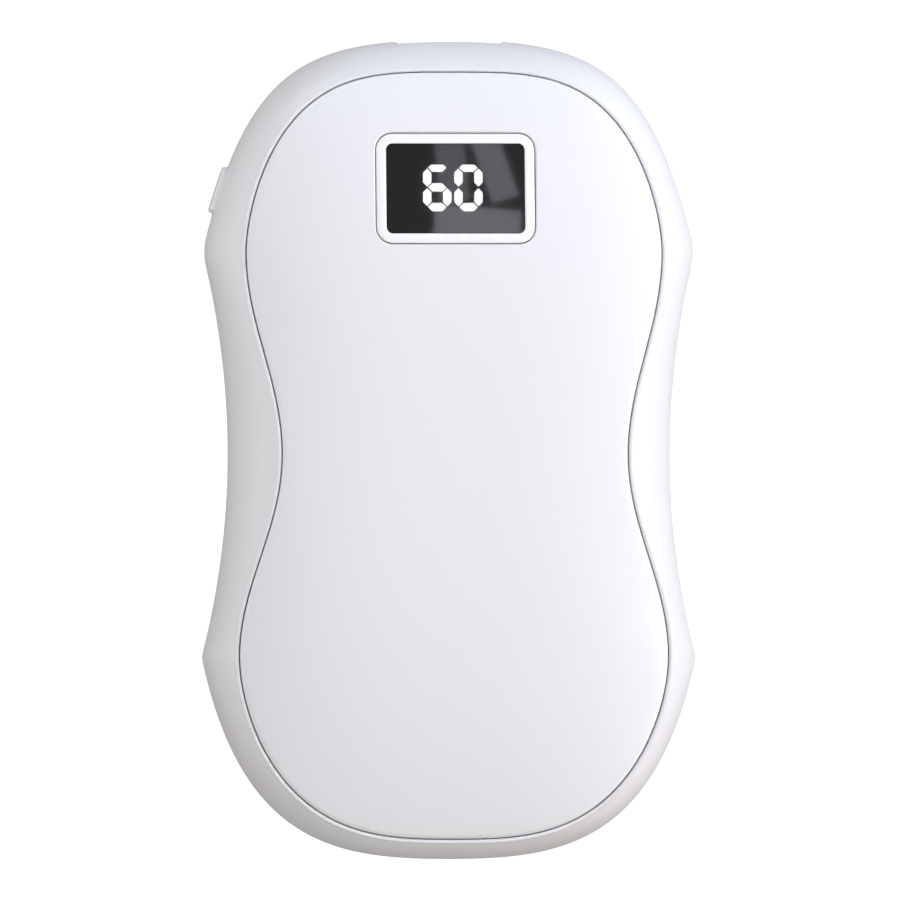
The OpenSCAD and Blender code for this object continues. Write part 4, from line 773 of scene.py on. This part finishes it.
def power_button():
    """Cap from the foot of its stem, over the flange, to its slightly crowned face."""
    w, h, r = BUTTON
    back = FLANGE_X - FLANGE_T
    stem = (STEM_D, STEM_D, STEM_D / 2 - STEM_PLAY)
    flange = (w + 2 * FLANGE_W, h + 2 * FLANGE_W, r + FLANGE_W)
    rows = [(*stem, back - STEM_L), (*stem, back), (*flange, back), (*flange, FLANGE_X),
            (w, h, r, FLANGE_X)]
    rows += [(w - 2 * move, h - 2 * move, r - move, BUTTON_PROUD - drop)
             for move, drop in fillet(BUTTON_EDGE_R, CAP_EDGE_STEPS)]
    rows += [(w * w_share, h * h_share, r * r_share, BUTTON_PROUD + rise)
             for w_share, h_share, r_share, rise in BUTTON_CROWN]
    bm = bmesh.new()
    loft(bm, button_rings(rows))
    finished("button_cap", bm, WHITE_BUTTON, body="button", replaces="power_button")


power_button()


# Display bezel and lens

def display_bezel():
    """Frame with a flange under the cover, rounded inner and outer edges, and a shelf under the lens."""
    grow, thick = BEZEL_FLANGE
    inner = (WINDOW[0] - BEZEL[0]) / 2
    rings = [bezel_ring(inner - WINDOW_STEP, BEZEL_DEPTH), bezel_ring(grow, BEZEL_DEPTH),
             bezel_ring(grow, BEZEL_DEPTH - thick), bezel_ring(0, BEZEL_DEPTH - thick)]
    rings += [bezel_ring(-move, drop + BEZEL_SINK) for move, drop in fillet(EDGE_R)]
    rings += [bezel_ring(inner + move, drop + BEZEL_SINK) for move, drop in reversed(fillet(BEZEL_LIP_R))]
    shelf = WINDOW_SINK + WINDOW_T + SHELF_GAP
    rings += [bezel_ring(inner, shelf), bezel_ring(inner - WINDOW_STEP, shelf),
              bezel_ring(inner - WINDOW_STEP, BEZEL_DEPTH)]
    bm = bmesh.new()
    loft(bm, rings, capped=False)
    finished("bezel_display", bm, WHITE_BEZEL, replaces="display_bezel")


display_bezel()


def display_lens():
    """Clear plate with a slightly crowned face, which slopes with the cover."""
    w, l, r = WINDOW
    ahead, behind = face_z(1, 0, DISPLAY_Y + LENS_SLOPE_SPAN), face_z(1, 0, DISPLAY_Y - LENS_SLOPE_SPAN)
    slope = (ahead - behind) / (2 * LENS_SLOPE_SPAN)
    bend = LENS_CROWN / (w / 2) ** 2
    crown = face_z(1, 0, DISPLAY_Y) - WINDOW_SINK
    line = [p + Vector((0, DISPLAY_Y)) for p in rounded_rect(w - LENS_PLAY, l - LENS_PLAY, r)]
    bm = bmesh.new()
    loft(bm, [level(line, crown - WINDOW_T), level(line, crown + WINDOW_T)])
    lens = finished("lens_display", bm, LENS, replaces="display_window")
    bm = bmesh.new()
    bmesh.ops.create_grid(bm, x_segments=LENS_GRID[0], y_segments=LENS_GRID[1], size=0.5)
    for v in bm.verts:
        x, y = v.co.x * (w + 2 * OVERRUN), v.co.y * (l + 2 * OVERRUN)
        v.co = (x, DISPLAY_Y + y, crown + slope * y - bend * (x ** 2 + y ** 2))
    made = bmesh.ops.extrude_face_region(bm, geom=bm.faces[:], use_keep_orig=True)["geom"]
    raised = [v for v in made if isinstance(v, bmesh.types.BMVert)]
    bmesh.ops.translate(bm, vec=(0, 0, LENS_CUT_T), verts=raised)
    cut_away(lens, [finished("air_over_lens", bm, LENS)])


def lens_border():
    """Black print round the back of the lens, which hides the shelf that it rests on."""
    top = WINDOW_SINK + WINDOW_T + BORDER_GAP
    foot = top + BORDER_T
    grow = (WINDOW[0] - BEZEL[0]) / 2
    wide, narrow = grow - BORDER_PLAY, grow - WINDOW_STEP - BORDER_LAP
    bm = bmesh.new()
    loft(bm, [bezel_ring(wide, top), bezel_ring(wide, foot), bezel_ring(narrow, foot),
              bezel_ring(narrow, top), bezel_ring(wide, top)], capped=False)
    border = finished("lens_border", bm, BLACK_PLASTIC)
    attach(border, "case")


display_lens()
lens_border()


# Charging receptacle

def port_shell():
    """Drawn shell, from its back round the rounded mouth to its inner floor."""
    mouth = RECESS_Y - PORT_SET_BACK
    back = mouth - PORT_L
    lip = PORT_WALL / 2
    w, h, r = PORT_W, PORT_H, PORT_H / 2 - ROUND_PLAY
    inside = (w - 2 * PORT_WALL, h - 2 * PORT_WALL)
    rows = [(w, h, r, back), (w, h, r, mouth - lip)]
    rows += [(w - 2 * move, h - 2 * move, r - move, mouth - drop) for move, drop in fillet(lip)[1:]]
    rows += [(w - 4 * lip + 2 * move, h - 4 * lip + 2 * move, r - 2 * lip + move, mouth - drop)
             for move, drop in reversed(fillet(lip)[:-1])]
    rows.append((*inside, inside[1] / 2 - ROUND_PLAY, back + PORT_WALL))
    bm = bmesh.new()
    loft(bm, upright_rings(rows))
    finished("port_shell", bm, PORT_STEEL, replaces="charging_port_shell")


port_shell()


# Floor, light and camera

def softbox(name, place, aim, size, power, colour, turn=0.0):
    """Area light that the camera doesn't see. Places are in metres, and turn is about its own axis."""
    light = bpy.data.lights.new(name, "AREA")
    light.shape = "RECTANGLE"
    light.size, light.size_y = size
    light.energy = power
    light.color = colour
    lamp = bpy.data.objects.new(name, light)
    bpy.context.scene.collection.objects.link(lamp)
    lamp.location = place
    towards = (Vector(aim) - Vector(place)).to_track_quat("-Z", "Y")
    lamp.rotation_euler = (towards @ Quaternion((0, 0, 1), turn)).to_euler()
    lamp.visible_camera = False


# The floor shines by itself and doesn't act on the product, so it is plain white as in the photograph
FLOOR_REACH = 2.5
bm = bmesh.new()
bmesh.ops.create_grid(bm, x_segments=1, y_segments=1, size=FLOOR_REACH)
mesh = bpy.data.meshes.new("floor")
bm.to_mesh(mesh)
bm.free()
floor = bpy.data.objects.new("floor", mesh)
bpy.context.scene.collection.objects.link(floor)
mesh.materials.append(finish("pale floor", (0.15, 0.15, 0.15), 0.9, tone=(300, 0.01), grain=(3, 0.01),
                             Emission_Color=(1.06, 1.03, 1.0, 1.0), Emission_Strength=1.0))
floor.visible_diffuse = floor.visible_glossy = floor.visible_shadow = False

WORLD_COLOUR, WORLD_STRENGTH = (1.0, 0.927, 0.847, 1.0), 0.262
world = bpy.data.worlds.new("studio")
bpy.context.scene.world = world
world.use_nodes = True
world.node_tree.nodes["Background"].inputs["Color"].default_value = WORLD_COLOUR
world.node_tree.nodes["Background"].inputs["Strength"].default_value = WORLD_STRENGTH

# Softboxes round the product: distance in metres, degrees off the upright and round it, size in metres,
# power in watts, and colour
LAMPS = (("key_right", 0.5, 65, 27, 0.25, 2.2, (0.782, 0.86, 1.0)),
         ("key_low", 0.5, 65, -20, 0.25, 1.16, (1.0, 0.867, 0.826)),
         ("key_top", 0.5, 65, 120, 0.25, 1.14, (0.833, 0.887, 1.0)),
         ("fill_left", 0.5, 65, 180, 0.25, 0.33, (1.0, 1.0, 0.92)),
         ("fill_low", 2.0, 50, 240, 0.8, 12.2, (0.868, 0.916, 1.0)),
         ("edge_left", 2.0, 88, 180, 0.8, 2.2, (1.0, 0.75, 0.65)))
middle = Vector((0, 0, MID * MM))
for name, distance, off, round_by, size, power, colour in LAMPS:
    off, round_by = math.radians(off), math.radians(round_by)
    way = Vector((math.sin(off) * math.cos(round_by), math.sin(off) * math.sin(round_by), math.cos(off)))
    softbox(name, middle + distance * way, middle, (size, size), power, colour)

# Window panes that the lens mirrors, with a dim glow above them: place across and along, height, size,
# power, turn in degrees, and colour
PANE_Z, PANE_COLOUR = 1.5, (0.84, 0.885, 1.0)
PANES = (("pane_a", 0.109, 0.485, PANE_Z, (0.082, 0.17), 0.094, 3, PANE_COLOUR),
         ("pane_b", 0.226, 0.496, PANE_Z, (0.08, 0.196), 0.149, 17, PANE_COLOUR),
         ("pane_c", 0.176, 0.331, PANE_Z, (0.236, 0.098), 0.27, -4, PANE_COLOUR),
         ("glow", 0.115, 0.44, 1.55, (0.5, 0.4), 0.23, 0, (0.97, 0.95, 1.0)))
for name, x, y, z, size, power, turn, colour in PANES:
    softbox(name, (x, y, z), (x, y, 0), size, power, colour, math.radians(turn))
bpy.context.scene.view_settings.view_transform = "Standard"

# Camera: as far off as the photograph's flat view asks, and leaning a little to the left
PHOTO_WIDTH_PX, PX_PER_MM = 900, 8.17
FRAME_WIDTH = PHOTO_WIDTH_PX / PX_PER_MM * MM
CAMERA_DISTANCE, CAMERA_TILT = 5.0, math.radians(4.4)
AIM_X, AIM_Y = 0.153, 0.06
CLIP_START, CLIP_END = 0.01, 20
aim = Vector((AIM_X, AIM_Y, MID)) * MM
camera_data = bpy.data.cameras.new("camera")
camera_data.lens = camera_data.sensor_width * CAMERA_DISTANCE / FRAME_WIDTH
camera_data.clip_start, camera_data.clip_end = CLIP_START, CLIP_END
camera = bpy.data.objects.new("camera", camera_data)
bpy.context.scene.collection.objects.link(camera)
camera.location = aim + CAMERA_DISTANCE * Vector((-math.sin(CAMERA_TILT), 0, math.cos(CAMERA_TILT)))
camera.rotation_euler = (0, -CAMERA_TILT, 0)
bpy.context.scene.camera = camera
